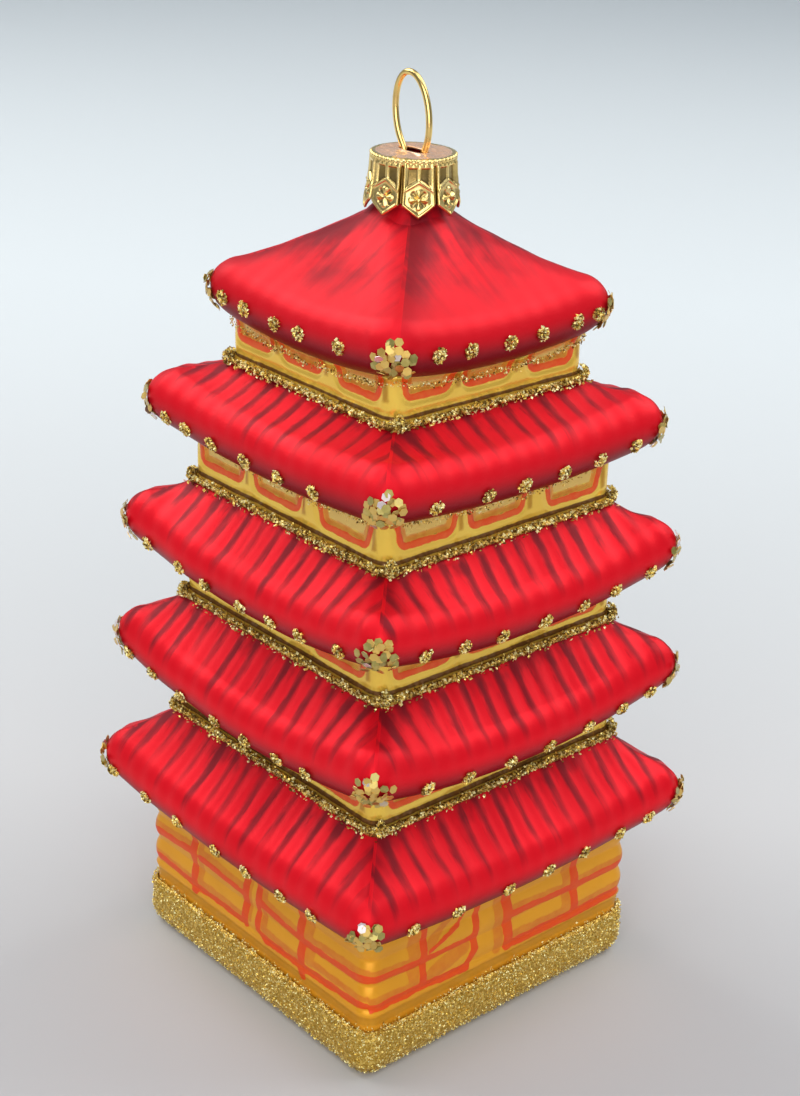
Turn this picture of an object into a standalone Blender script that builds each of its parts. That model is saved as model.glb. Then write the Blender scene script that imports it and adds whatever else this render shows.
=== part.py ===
"""A blown-glass tree ornament in the shape of a five-storey pagoda.

One thin glass body with five hipped roofs stands on a flat base. Glitter bands run round the foot of
each storey, a pad of sequins sits on each roof corner, and a stamped metal cap with a sprung wire
hanger closes the neck. Metres, +Z up, with the origin at the middle of the underside. The walls face
+X, -X, +Y and -Y.
"""
import math

import bmesh
import bpy
from mathutils import Vector

MM = 0.001
GAP = 0.3 * MM

# Glass body
GLASS_WALL = 1.0 * MM
CORNER_STEPS = 4
SIDE_STEPS = 4
WALL_CORNER = 2.4 * MM
HIP_CORNER = 2.6 * MM
FOOT_ROLL = 2.6 * MM
PLINTH_SET_BACK = 0.3 * MM
PLINTH_TOP = 11.0 * MM
COURSES = 3
COURSE_DEPTH = 0.45 * MM
COVE_HEIGHT = 2.4 * MM
EAVE_COVE_HEIGHT = 1.5 * MM
EAVE_COVE_REACH = 0.5 * MM
WALL_DROOP_SHARE = 0.85
RIM_STEPS = 5
SLOPE_STEPS = 3
SLOPE_SCOOP = 0.4 * MM
TOP_SLOPE_STEPS = 6
TOP_SLOPE_SCOOP = 0.7 * MM
NECK_RADIUS = 4.7 * MM
NECK_FILLET = 1.0 * MM


class Storey:
    """A wall and the hipped roof over it. Half sides and heights are given in millimetres. The droop
    is how much lower the eave hangs at the middle of a side than at its upturned corners."""

    def __init__(self, wall, eave, eave_height, rim, eave_corner, top, top_height, droop):
        self.wall = wall * MM
        self.eave = eave * MM
        self.eave_height = eave_height * MM
        self.rim = rim * MM
        self.eave_corner = eave_corner * MM
        self.top = top * MM
        self.top_height = top_height * MM
        self.droop = droop * MM


# wall, eave, eave height, rim radius, eave's plan corner, roof's top, top height, droop
STOREYS = [
    Storey(26.5, 32.2, 29.8, 4.6, 3.6, 23.7, 38.5, 1.6),
    Storey(23.4, 30.4, 50.8, 4.3, 3.4, 22.7, 57.7, 3.0),
    Storey(22.4, 29.3, 69.8, 4.2, 3.4, 21.7, 76.1, 2.7),
    Storey(21.4, 26.8, 88.4, 4.3, 3.4, 17.9, 94.2, 1.4),
    Storey(17.6, 20.8, 105.2, 4.3, 4.6, 6.2, 116.4, 1.4),
]
BASE, TOP = STOREYS[0], STOREYS[-1]

# Cap and hanger
CAP_TOP = 124.9 * MM
CAP_SHEET = 0.4 * MM
CAP_TOP_RADIUS = 5.85 * MM
CAP_SKIRT_RADIUS = 6.5 * MM
CAP_EDGE_RADIUS = 0.5 * MM
SKIRT_STEPS = 4
PETALS = 8
PETAL_STEPS = 6
PETAL_TIP = 117.1 * MM
PETAL_NOTCH = 119.0 * MM
PETAL_FOLD = 0.35 * MM
SLOT_HALF_LENGTH = 2.5 * MM
SLOT_HALF_WIDTH = 1.1 * MM
WIRE_RADIUS = 0.42 * MM
LOOP_HALF_WIDTH = 3.4 * MM
LOOP_TOP = 135.7 * MM
LOOP_HALF_HEIGHT = 5.7 * MM
LOOP_LEAN = 1.3 * MM
LOOP_STEPS = 20
LEG_TIP = 113.5 * MM
LEG_BELOW_CAP = 0.5 * MM
LEG_SPREAD_DROP = 4.0 * MM

# Trim
BASE_BAND_TOP = 7.7 * MM
BASE_BAND_PROUD = 0.7 * MM
BASE_BAND_LOW_ANGLE = -60.0
BASE_BAND_LOW_SHARE = 0.15
BASE_BAND_SHOULDER = 1.3 * MM
BASE_BAND_EDGE = 0.3 * MM
BAND_ON_WALL = 1.4 * MM
BAND_ON_ROOF = 1.2 * MM
BAND_CROWN = 0.55 * MM
BAND_EDGE = 0.25 * MM
BAND_BEAD = 0.4
BEAD_FALL_OFF = 1.6
EAVE_LINE_RADIUS = 0.25 * MM
PAD_HALF_SIZE = 2.8 * MM
PAD_RIM = 0.25 * MM
PAD_DOME = 0.3 * MM
PAD_SPOKES = 12
PAD_RINGS = 3
PAD_ANGLE = -12.0
PAD_OUTLINE_STEPS = 24


def material(name, colour, roughness, metallic):
    made = bpy.data.materials.new(name)
    made.use_nodes = True
    shader = made.node_tree.nodes["Principled BSDF"]
    shader.inputs["Base Color"].default_value = (*colour, 1.0)
    shader.inputs["Roughness"].default_value = roughness
    shader.inputs["Metallic"].default_value = metallic
    return made


def blend(low, high, share):
    return low + (high - low) * max(0.0, min(1.0, share))


def arc(centre, radius, start, end, steps):
    """Points (half side, height) on an arc of an outline, angles in degrees from straight out."""
    points = []
    for step in range(steps + 1):
        angle = math.radians(start + (end - start) * step / steps)
        points.append((centre[0] + radius * math.cos(angle), centre[1] + radius * math.sin(angle)))
    return points


def underside_angle(storey):
    """Angle at which the rolled rim leaves the cove over the wall."""
    reach = storey.wall + EAVE_COVE_REACH - (storey.eave - storey.rim)
    return -math.degrees(math.acos(max(0.0, reach / storey.rim)))


def slope_angle(storey):
    """Angle at which the straight roof slope leaves the rolled rim, along their tangent."""
    along = storey.eave - storey.rim - storey.top
    up = storey.top_height - storey.eave_height
    return math.degrees(math.atan2(up, -along) - math.acos(storey.rim / math.hypot(along, up)))


def rim_centre(storey):
    return storey.eave - storey.rim, storey.eave_height


def wall_top(storey):
    return storey.eave_height + storey.rim * math.sin(math.radians(underside_angle(storey)))


def base_profile():
    """The rolled foot, the plinth behind the glitter band and the rounded courses of the lowest
    wall, as (half side, height, plan radius, droop)."""
    plinth = BASE.wall - PLINTH_SET_BACK
    points = arc((plinth - FOOT_ROLL, FOOT_ROLL), FOOT_ROLL, -90.0, 0.0, 4)
    points.append((plinth, PLINTH_TOP))
    rise = (wall_top(BASE) - BASE.droop - PLINTH_TOP) / COURSES
    for course in range(COURSES):
        for share in (0.2, 0.5, 0.8, 1.0):
            side = BASE.wall - COURSE_DEPTH * (1.0 - math.sin(math.pi * share))
            points.append((side, PLINTH_TOP + rise * (course + share)))
    return [(side, height, WALL_CORNER, 0.0) for side, height in points]


def wall_profile(storey, below):
    """An upper wall: it flares in a cove to the roof below, and again to the eave above."""
    foot_reach = below.top - storey.wall
    points = []
    for share in (0.25, 0.5, 1.0):
        side = storey.wall + foot_reach * (1.0 - share) ** 2
        points.append((side, below.top_height + COVE_HEIGHT * share, WALL_CORNER, 0.0))
    top = wall_top(storey)
    for share in (0.0, 0.5):
        side = storey.wall + EAVE_COVE_REACH * share ** 2
        droop = storey.droop * blend(WALL_DROOP_SHARE, 1.0, share)
        points.append((side, top - EAVE_COVE_HEIGHT * (1.0 - share), WALL_CORNER, droop))
    return points


def rim_profile(storey, steps):
    """The rolled rim of a roof, from its underside outwards and up to the slope."""
    points = []
    for side, height in arc(rim_centre(storey), storey.rim, underside_angle(storey),
                            slope_angle(storey), steps):
        share = (side - storey.wall) / (storey.eave - 0.5 * storey.rim - storey.wall)
        radius = blend(WALL_CORNER, storey.eave_corner, share)
        points.append((side, height, radius, storey.droop))
    return points


def slope_profile(storey):
    """The roof above its rim, slightly scooped."""
    steps = TOP_SLOPE_STEPS if storey is TOP else SLOPE_STEPS
    scoop = TOP_SLOPE_SCOOP if storey is TOP else SLOPE_SCOOP
    first_side, first_height, first_radius, droop = rim_profile(storey, 1)[-1]
    points = []
    for step in range(1, steps + 1):
        share = step / steps
        side = blend(first_side, storey.top, share)
        height = blend(first_height, storey.top_height, share) - scoop * 4.0 * share * (1.0 - share)
        radius = blend(first_radius, HIP_CORNER, share)
        points.append((side, height, radius, droop * (1.0 - share) ** 1.5))
    return points


def body_profile():
    """The outline of the glass, from the underside to the neck's mouth."""
    points = base_profile()
    points += rim_profile(BASE, RIM_STEPS) + slope_profile(BASE)
    for below, storey in zip(STOREYS, STOREYS[1:]):
        points += wall_profile(storey, below) + rim_profile(storey, RIM_STEPS) + slope_profile(storey)
    points.append((NECK_RADIUS, TOP.top_height + NECK_FILLET, HIP_CORNER, 0.0))
    points.append((NECK_RADIUS, CAP_TOP - CAP_SHEET - GAP, HIP_CORNER, 0.0))
    return points


def roundness(height):
    """How round the glass is in plan: the top roof turns from a square at its rim to the neck's
    circle at its top."""
    start = TOP.eave_height + 0.5 * TOP.rim
    return blend(0.0, 1.0, (height - start) / (TOP.top_height - start)) ** 3


def fall(droop, from_axis, half_side, radius):
    """How far a point lies under its ring's corners: a parabola along each side, from the full droop
    at the middle to none at the corner. from_axis is the point's lesser coordinate in plan."""
    corner = half_side - radius + radius / math.sqrt(2.0)
    return droop * max(0.0, 1.0 - (from_axis / corner) ** 2)


def square_rays(half_side, radius):
    """Round a square with arc corners: each point's corner centre, or the like place along a side,
    its way out from there and how far it is from a corner's middle, from 0 to 1."""
    reach = half_side - radius
    centres = [Vector((reach, reach, 0.0)), Vector((-reach, reach, 0.0)),
               Vector((-reach, -reach, 0.0)), Vector((reach, -reach, 0.0))]
    rays = []
    for corner in range(4):
        for step in range(CORNER_STEPS + 1):
            angle = math.radians(90.0 * (corner + step / CORNER_STEPS))
            way = Vector((math.cos(angle), math.sin(angle), 0.0))
            rays.append((centres[corner], way, abs(2.0 * step / CORNER_STEPS - 1.0)))
        for step in range(1, SIDE_STEPS):
            middle = centres[corner].lerp(centres[(corner + 1) % 4], step / SIDE_STEPS)
            rays.append((middle, way, 1.0))
    return rays


def plan_ring(half_side, radius, height, droop=0.0):
    """A rounded square, drawn towards a circle of the same half side by its roundness."""
    rays = square_rays(half_side, radius)
    points = []
    for index, (middle, way, _) in enumerate(rays):
        point = middle + way * radius
        angle = math.pi / 4.0 + 2.0 * math.pi * (index - CORNER_STEPS / 2.0) / len(rays)
        circle = Vector((half_side * math.cos(angle), half_side * math.sin(angle), 0.0))
        from_axis = min(abs(point.x), abs(point.y))
        drop = fall(droop, from_axis, half_side, radius)
        point = point.lerp(circle, roundness(height))
        point.z = height - drop
        points.append(point)
    return points


def bridge(mesh, lower, upper):
    """Faces between two rings with the same number of points, outside outwards."""
    count = len(lower)
    for index in range(count):
        after = (index + 1) % count
        mesh.faces.new((lower[index], lower[after], upper[after], upper[index]))


def add_ring(mesh, points):
    return [mesh.verts.new(point) for point in points]


def finish(name, mesh, surface, collection, smooth_angle=40.0):
    data = bpy.data.meshes.new(name)
    mesh.to_mesh(data)
    mesh.free()
    data.materials.append(surface)
    data.shade_smooth()
    data.set_sharp_from_angle(angle=math.radians(smooth_angle))
    made = bpy.data.objects.new(name, data)
    collection.objects.link(made)
    return made


def give_thickness(made, thickness):
    """A shell that grows inwards from the modelled face."""
    solidify = made.modifiers.new("thickness", "SOLIDIFY")
    solidify.thickness = thickness
    solidify.offset = -1.0
    solidify.use_even_offset = True


def glass_body(surface, collection):
    """The blown body: rounded squares lofted up the outline, closed below and open at the neck."""
    mesh = bmesh.new()
    rings = []
    for side, height, radius, droop in body_profile():
        rings.append(add_ring(mesh, plan_ring(side, radius, height, droop)))
    for lower, upper in zip(rings, rings[1:]):
        bridge(mesh, lower, upper)
    mesh.faces.new(reversed(rings[0]))
    made = finish("glass_body", mesh, surface, collection)
    give_thickness(made, GLASS_WALL)


def base_band(surface, collection):
    """The deep glitter band round the foot, which thins out as it rolls under."""
    plinth = BASE.wall - PLINTH_SET_BACK
    centre = (plinth - FOOT_ROLL, FOOT_ROLL)
    section = [(plinth + GAP, BASE_BAND_TOP)]
    section += reversed(arc(centre, FOOT_ROLL + GAP, BASE_BAND_LOW_ANGLE, 0.0, 3))
    steps = 4
    for step in range(steps + 1):
        share = step / steps
        proud = BASE_BAND_PROUD * blend(BASE_BAND_LOW_SHARE, 1.0, share)
        section += arc(centre, FOOT_ROLL + GAP + proud, BASE_BAND_LOW_ANGLE * (1.0 - share), 0.0, 1)[:1]
    section.append((plinth + GAP + BASE_BAND_PROUD, BASE_BAND_TOP - BASE_BAND_SHOULDER))
    section.append((plinth + GAP + 0.6 * BASE_BAND_PROUD, BASE_BAND_TOP - BASE_BAND_EDGE))
    mesh = bmesh.new()
    rings = []
    for side, height in section:
        rings.append(add_ring(mesh, plan_ring(side, WALL_CORNER + side - plinth, height)))
    for lower, upper in zip(rings, rings[1:] + rings[:1]):
        bridge(mesh, lower, upper)
    finish("base_glitter_band", mesh, surface, collection)


def closed_band(name, seat, section, bead, droop, surface, collection):
    """A band carried round the body. The section's points are (out, up) from its seat, a (half side,
    height) on the glass, and grow by the bead's share at each corner."""
    mesh = bmesh.new()
    half_side, height = seat
    rings = []
    for out, up in section:
        ring = []
        for middle, way, off_middle in square_rays(half_side, WALL_CORNER):
            swell = 1.0 + bead * max(0.0, 1.0 - BEAD_FALL_OFF * off_middle ** 2)
            point = middle + way * (WALL_CORNER + out * swell)
            from_axis = min(abs(point.x), abs(point.y))
            point.z = height + up * swell - fall(droop, from_axis, half_side, WALL_CORNER)
            ring.append(point)
        rings.append(add_ring(mesh, ring))
    for lower, upper in zip(rings, rings[1:] + rings[:1]):
        bridge(mesh, lower, upper)
    finish(name, mesh, surface, collection)


def storey_band(number, below, surface, collection):
    """The fillet of glitter in the crease where a wall meets the roof below: flat against both, with
    a crowned face between them."""
    slope = math.radians(slope_angle(below) - 90.0)
    seat = (below.top + GAP, below.top_height + GAP / math.cos(slope))
    low = (BAND_ON_ROOF * math.cos(slope), BAND_ON_ROOF * math.sin(slope))
    section = [(0.0, 0.0), low]
    steps = 4
    for step in range(1, steps + 1):
        share = step / steps
        crown = BAND_CROWN * math.sin(math.pi * share)
        out = blend(low[0], BAND_EDGE, share) + crown
        section.append((out, blend(low[1] + BAND_EDGE, BAND_ON_WALL, share) + crown))
    section.append((0.0, BAND_ON_WALL))
    closed_band(f"storey{number}_glitter_band", seat, section, BAND_BEAD, 0.0, surface, collection)


def eave_line(number, storey, surface, collection):
    """The thin line of glitter at the top of a wall, close under the eave."""
    off = EAVE_LINE_RADIUS + GAP
    seat = (storey.wall + EAVE_COVE_REACH * 0.25, wall_top(storey) - EAVE_COVE_HEIGHT * 0.5)
    section = [(off + side, height - off) for side, height in
               arc((0.0, 0.0), EAVE_LINE_RADIUS, 0.0, 300.0, 5)]
    name = f"storey{number}_eave_glitter_line"
    closed_band(name, seat, section, 0.0, storey.droop, surface, collection)


def cap_edge(angle):
    """Height of the skirt's lower edge, and how far a point is from its petal's middle, 0 to 1."""
    turn = (angle * PETALS / (2.0 * math.pi)) % 1.0
    off_tip = abs(2.0 * turn - 1.0)
    return blend(PETAL_TIP, PETAL_NOTCH, off_tip), off_tip


def slot_reach(angle):
    """Distance from the middle to the edge of the oval slot in the cap's top."""
    along = abs(math.cos(angle)) / SLOT_HALF_LENGTH
    across = abs(math.sin(angle)) / SLOT_HALF_WIDTH
    return (along ** 3 + across ** 3) ** (-1.0 / 3.0)


def around(angle, reach, height):
    return Vector((reach * math.cos(angle), reach * math.sin(angle), height))


def cap(surface, collection):
    """A stamped crown: a slotted disc, a rolled edge and a flared skirt folded into pointed petals."""
    count = PETALS * PETAL_STEPS
    angles = [2.0 * math.pi * index / count for index in range(count)]
    rings = [[around(angle, slot_reach(angle), CAP_TOP) for angle in angles]]
    edge = CAP_EDGE_RADIUS
    for side, height in arc((CAP_TOP_RADIUS - edge, CAP_TOP - edge), edge, 90.0, 0.0, 2):
        rings.append([around(angle, side, height) for angle in angles])
    skirt_top = CAP_TOP - edge
    for step in range(1, SKIRT_STEPS + 1):
        share = step / SKIRT_STEPS
        ring = []
        for angle in angles:
            low, off_tip = cap_edge(angle)
            fold = PETAL_FOLD * share * off_tip ** 6
            reach = blend(CAP_TOP_RADIUS, CAP_SKIRT_RADIUS, share ** 2) - fold
            ring.append(around(angle, reach, blend(skirt_top, low, share)))
        rings.append(ring)
    mesh = bmesh.new()
    made = [add_ring(mesh, ring) for ring in rings]
    for upper, lower in zip(made, made[1:]):
        bridge(mesh, lower, upper)
    shell = finish("cap", mesh, surface, collection)
    give_thickness(shell, CAP_SHEET)


def hanger(surface, collection):
    """One wire: an oval loop over the cap, through the slot, and two legs sprung apart in the neck."""
    middle = LOOP_TOP - WIRE_RADIUS - LOOP_HALF_HEIGHT
    slot_side = SLOT_HALF_LENGTH - WIRE_RADIUS - GAP
    end = math.pi - math.asin(slot_side / LOOP_HALF_WIDTH)
    half = []
    for step in range(LOOP_STEPS + 1):
        angle = end * step / LOOP_STEPS
        half.append((LOOP_HALF_WIDTH * math.sin(angle), middle + LOOP_HALF_HEIGHT * math.cos(angle)))
    spread = NECK_RADIUS - GLASS_WALL - WIRE_RADIUS - GAP
    half.append((slot_side, CAP_TOP - CAP_SHEET - LEG_BELOW_CAP))
    half.append((spread, CAP_TOP - LEG_SPREAD_DROP))
    half.append((spread, LEG_TIP))
    path = []
    for side, height in [(-side, height) for side, height in reversed(half[1:])] + half:
        lean = LOOP_LEAN * max(0.0, (height - CAP_TOP) / (LOOP_TOP - CAP_TOP))
        path.append((side - lean, height))
    curve = bpy.data.curves.new("hanger", "CURVE")
    curve.dimensions = "3D"
    curve.bevel_depth = WIRE_RADIUS
    curve.bevel_resolution = 2
    curve.use_fill_caps = True
    spline = curve.splines.new("POLY")
    spline.points.add(len(path) - 1)
    for point, (side, height) in zip(spline.points, path):
        point.co = (side, 0.0, height, 1.0)
    curve.materials.append(surface)
    collection.objects.link(bpy.data.objects.new("hanger", curve))


def walk(outline, start, distance):
    """The point at a distance along an outline from its point number start, and the way it runs."""
    step = 1 if distance >= 0.0 else -1
    left = abs(distance)
    index = start
    while True:
        here = Vector(outline[index])
        there = Vector(outline[index + step])
        length = (there.xy - here.xy).length
        if left <= length:
            return here.lerp(there, left / length), (there.xy - here.xy).normalized() * step
        left -= length
        index += step


def on_corner(outline, start, across, along, lift):
    """A point over a roof's corner on the +X side: across it and along its outline in metres from
    the pad's middle, and lifted off the glass."""
    (side, height, radius, droop), way = walk(outline, start, along)
    half_arc = radius * math.pi / 4.0
    turn = max(-1.0, min(1.0, across / half_arc)) * math.pi / 4.0
    beyond = math.copysign(max(0.0, abs(across) - half_arc), across)
    out = Vector((math.cos(turn), math.sin(turn), 0.0))
    normal = (out * way.y - Vector((0.0, 0.0, way.x))).normalized()
    centre = Vector(((side - radius) * math.sqrt(2.0), 0.0, height))
    point = centre + out * radius + Vector((-out.y, out.x, 0.0)) * beyond
    point.z -= fall(droop, (point.x - abs(point.y)) / math.sqrt(2.0), side, radius)
    return point + normal * lift


def sequin_pad(name, storey, corner, surface, collection):
    """A low round pad of sequins that wraps a roof's corner and its rolled rim."""
    outline = rim_profile(storey, PAD_OUTLINE_STEPS) + slope_profile(storey)
    low, high = underside_angle(storey), slope_angle(storey)
    start = round((PAD_ANGLE - low) / (high - low) * PAD_OUTLINE_STEPS)
    mesh = bmesh.new()
    skins = []
    for height in (PAD_DOME, None):
        rim = GAP if height is None else GAP + PAD_RIM
        rise = 0.0 if height is None else height
        middle = mesh.verts.new(on_corner(outline, start, 0.0, 0.0, rim + rise))
        rings = []
        for ring in range(1, PAD_RINGS + 1):
            share = ring / PAD_RINGS
            lift = rim + rise * math.cos(share * math.pi / 2.0)
            points = []
            for spoke in range(PAD_SPOKES):
                angle = 2.0 * math.pi * spoke / PAD_SPOKES
                across = PAD_HALF_SIZE * share * math.cos(angle)
                along = PAD_HALF_SIZE * share * math.sin(angle)
                points.append(on_corner(outline, start, across, along, lift))
            rings.append(add_ring(mesh, points))
        for index in range(PAD_SPOKES):
            mesh.faces.new((middle, rings[0][index], rings[0][(index + 1) % PAD_SPOKES]))
        for near, far in zip(rings, rings[1:]):
            bridge(mesh, near, far)
        skins.append(rings[-1])
    bridge(mesh, skins[0], skins[1])
    bmesh.ops.recalc_face_normals(mesh, faces=mesh.faces)
    made = finish(name, mesh, surface, collection)
    made.rotation_euler = (0.0, 0.0, math.radians(45.0 + 90.0 * corner))


def build():
    for old in list(bpy.data.objects):
        bpy.data.objects.remove(old)
    collection = bpy.data.collections.new("glass_pagoda_ornament")
    bpy.context.scene.collection.children.link(collection)
    glass = material("red_satin_glass", (0.50, 0.004, 0.02), 0.3, 0.35)
    glitter = material("gold_glitter", (0.55, 0.33, 0.06), 0.4, 0.8)
    sequins = material("gold_sequins", (0.75, 0.52, 0.16), 0.3, 0.9)
    cap_metal = material("stamped_gold_cap", (0.85, 0.60, 0.20), 0.2, 1.0)
    wire = material("gold_wire", (0.80, 0.58, 0.25), 0.2, 1.0)
    glass_body(glass, collection)
    base_band(glitter, collection)
    for number, below in enumerate(STOREYS[:-1], 2):
        storey_band(number, below, glitter, collection)
    for number in (4, 5):
        eave_line(number, STOREYS[number - 1], glitter, collection)
    cap(cap_metal, collection)
    hanger(wire, collection)
    for number, storey in enumerate(STOREYS, 1):
        for corner, word in enumerate(("right", "back", "left", "front")):
            sequin_pad(f"roof{number}_sequins_{word}", storey, corner, sequins, collection)


build()
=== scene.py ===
"""The visual model of a blown-glass tree ornament in the shape of a five-storey pagoda.

Lacquered glass roofs and gilt walls with hand-painted panels, glitter grit, sequins, a stamped cap and a
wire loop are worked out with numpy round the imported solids. Lengths are metres, +Z up.
"""
import math

import bpy
import numpy as np
from bpy.props import FloatProperty, FloatVectorProperty, IntProperty, PointerProperty
from mathutils import Matrix, Vector


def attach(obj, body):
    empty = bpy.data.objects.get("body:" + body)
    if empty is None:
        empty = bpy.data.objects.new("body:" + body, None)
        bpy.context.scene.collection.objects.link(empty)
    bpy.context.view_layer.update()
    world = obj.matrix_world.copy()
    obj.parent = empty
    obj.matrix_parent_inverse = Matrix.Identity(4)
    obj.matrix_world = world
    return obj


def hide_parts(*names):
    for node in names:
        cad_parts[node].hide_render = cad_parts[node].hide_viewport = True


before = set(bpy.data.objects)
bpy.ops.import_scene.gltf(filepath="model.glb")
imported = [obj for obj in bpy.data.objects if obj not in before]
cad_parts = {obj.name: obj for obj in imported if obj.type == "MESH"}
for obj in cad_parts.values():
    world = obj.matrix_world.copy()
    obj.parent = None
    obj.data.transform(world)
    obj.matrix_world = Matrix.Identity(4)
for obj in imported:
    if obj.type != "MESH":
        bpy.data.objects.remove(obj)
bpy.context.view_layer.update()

bl_info = {
    "name": "Glass pagoda ornament",
    "version": (1, 0, 0),
    "blender": (4, 5, 0),
    "location": "View3D > Sidebar > Ornament",
    "description": "Dresses a glass pagoda ornament in lacquer, gilding, glitter and sequins",
    "category": "Add Mesh",
}

MM = 0.001
BODY = "root"

# Glass
WALL_CORNER = 2.4 * MM
HIP_CORNER = 2.6 * MM
FOOT_ROLL = 2.6 * MM
PLINTH_SET_BACK = 0.3 * MM
PLINTH_TOP = 11.0 * MM
COURSES = 3
COURSE_DEPTH = 0.45 * MM
COVE_HEIGHT = 2.4 * MM
EAVE_COVE_HEIGHT = 1.5 * MM
EAVE_COVE_REACH = 0.5 * MM
WALL_DROOP_SHARE = 0.85
SLOPE_SCOOP = 0.4 * MM
TOP_SLOPE_SCOOP = 0.7 * MM
NECK_RADIUS = 4.7 * MM
NECK_FILLET = 1.0 * MM

# Cap and wire
CAP_TOP = 124.9 * MM
CAP_SHEET = 0.4 * MM
CAP_TOP_RADIUS = 5.85 * MM
CAP_SKIRT_RADIUS = 6.5 * MM
CAP_EDGE_RADIUS = 0.5 * MM
PETALS = 8
PETAL_TIP = 117.1 * MM
PETAL_NOTCH = 119.0 * MM
PETAL_FOLD = 0.35 * MM
PETAL_TURN = math.radians(11.0)
SLOT_HALF_LENGTH = 2.5 * MM
SLOT_HALF_WIDTH = 1.1 * MM
WIRE_RADIUS = 0.45 * MM
LOOP_HALF_WIDTH = 3.4 * MM
LOOP_TOP = 135.7 * MM
LOOP_HALF_HEIGHT = 5.7 * MM
LOOP_LEAN = 1.3 * MM
LEG_TIP = 113.5 * MM

# Trim
GAP = 0.3 * MM
BASE_BAND_TOP = 7.7 * MM
BASE_BAND_PROUD = 0.7 * MM
BAND_ON_ROOF = 0.66 * MM
CORE_ON_WALL = 0.50 * MM
CORE_CROWN = 0.26 * MM
BAND_BEAD = 0.4
BEAD_FALL_OFF = 1.6
BEAD_SIZE = np.array([1.3, 1.3, 1.25]) * MM
BEAD_SHIFT = 1.1 * MM
PAD_ANGLE = -12.0


class Storey:
    """A wall and the hipped roof over it. Half sides and heights are given in millimetres. The droop
    is how much lower the eave hangs at the middle of a side than at its upturned corners."""

    def __init__(self, wall, eave, eave_height, rim, eave_corner, top, top_height, droop):
        self.wall = wall * MM
        self.eave = eave * MM
        self.eave_height = eave_height * MM
        self.rim = rim * MM
        self.eave_corner = eave_corner * MM
        self.top = top * MM
        self.top_height = top_height * MM
        self.droop = droop * MM

    def underside_angle(self):
        """Angle in degrees at which the rolled rim leaves the cove over the wall."""
        reach = self.wall + EAVE_COVE_REACH - (self.eave - self.rim)
        return -math.degrees(math.acos(max(0.0, reach / self.rim)))

    def slope_angle(self):
        """Angle in degrees at which the roof's slope leaves the rolled rim, along their tangent."""
        along = self.eave - self.rim - self.top
        up = self.top_height - self.eave_height
        return math.degrees(math.atan2(up, -along) - math.acos(self.rim / math.hypot(along, up)))

    def wall_top(self):
        return self.eave_height + self.rim * math.sin(math.radians(self.underside_angle()))


# wall, eave, eave height, rim radius, eave's plan corner, roof's top, top height, droop
STOREYS = [
    Storey(26.5, 32.2, 29.8, 4.6, 3.6, 23.7, 38.5, 1.6),
    Storey(23.4, 30.4, 50.8, 4.3, 3.4, 22.7, 57.7, 3.0),
    Storey(22.4, 29.3, 69.8, 4.2, 3.4, 21.7, 76.1, 2.7),
    Storey(21.4, 26.8, 88.4, 4.3, 3.4, 17.9, 94.2, 1.4),
    Storey(17.6, 20.8, 105.2, 4.3, 4.6, 6.2, 116.4, 1.4),
]
BASE, TOP = STOREYS[0], STOREYS[-1]

# Brush strokes on the lowest wall, in millimetres along the wall from its middle and up: start, end and
# half width. The first list is for the walls that face -Y and +Y, the second for those that face +-X.
RED_STROKES = [
    [(-28.0, 16.3, -24.0, 16.8, 0.42), (-24.0, 16.8, -14.6, 17.5, 0.40), (-13.0, 17.3, -1.5, 16.8, 0.36),
     (1.5, 17.2, 11.3, 15.9, 0.45), (11.3, 15.9, 21.0, 16.1, 0.48), (21.0, 16.1, 28.0, 16.6, 0.52),
     (-28.0, 11.5, -23.4, 12.3, 0.42), (-23.4, 12.3, -14.6, 11.7, 0.45), (-14.6, 11.7, -1.7, 11.8, 0.42),
     (1.4, 12.0, 3.2, 11.4, 0.42), (3.2, 11.4, 11.7, 11.4, 0.42), (11.7, 11.4, 25.0, 12.1, 0.48),
     (25.0, 12.1, 28.0, 12.2, 0.40), (-14.8, 24.0, -14.5, 10.9, 0.52), (-1.2, 24.0, -1.7, 11.7, 0.48),
     (1.7, 24.0, 1.4, 12.0, 0.42), (11.3, 24.0, 11.9, 9.9, 0.52), (26.3, 16.6, 26.4, 15.6, 0.40)],
    [(-28.0, 16.6, -17.1, 16.1, 0.46), (-17.1, 16.1, -6.3, 15.8, 0.38), (1.0, 16.6, 14.4, 15.9, 0.44),
     (14.4, 15.9, 28.0, 16.3, 0.46), (-28.0, 12.2, -26.0, 11.6, 0.42), (-26.0, 11.6, -15.8, 11.6, 0.48),
     (-15.8, 11.6, -7.4, 11.1, 0.44), (0.9, 11.5, 15.3, 11.0, 0.48), (15.3, 11.0, 28.0, 11.5, 0.48),
     (-16.3, 24.0, -15.9, 11.5, 0.40), (-5.9, 24.0, -5.9, 13.6, 0.42), (-5.9, 13.6, -7.4, 11.1, 0.46),
     (-7.6, 24.0, -9.3, 19.1, 0.26), (-9.3, 19.1, -14.8, 17.2, 0.24), (-0.2, 24.0, 1.0, 11.5, 0.62),
     (14.0, 24.0, 15.1, 11.4, 0.50)],
]
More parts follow.
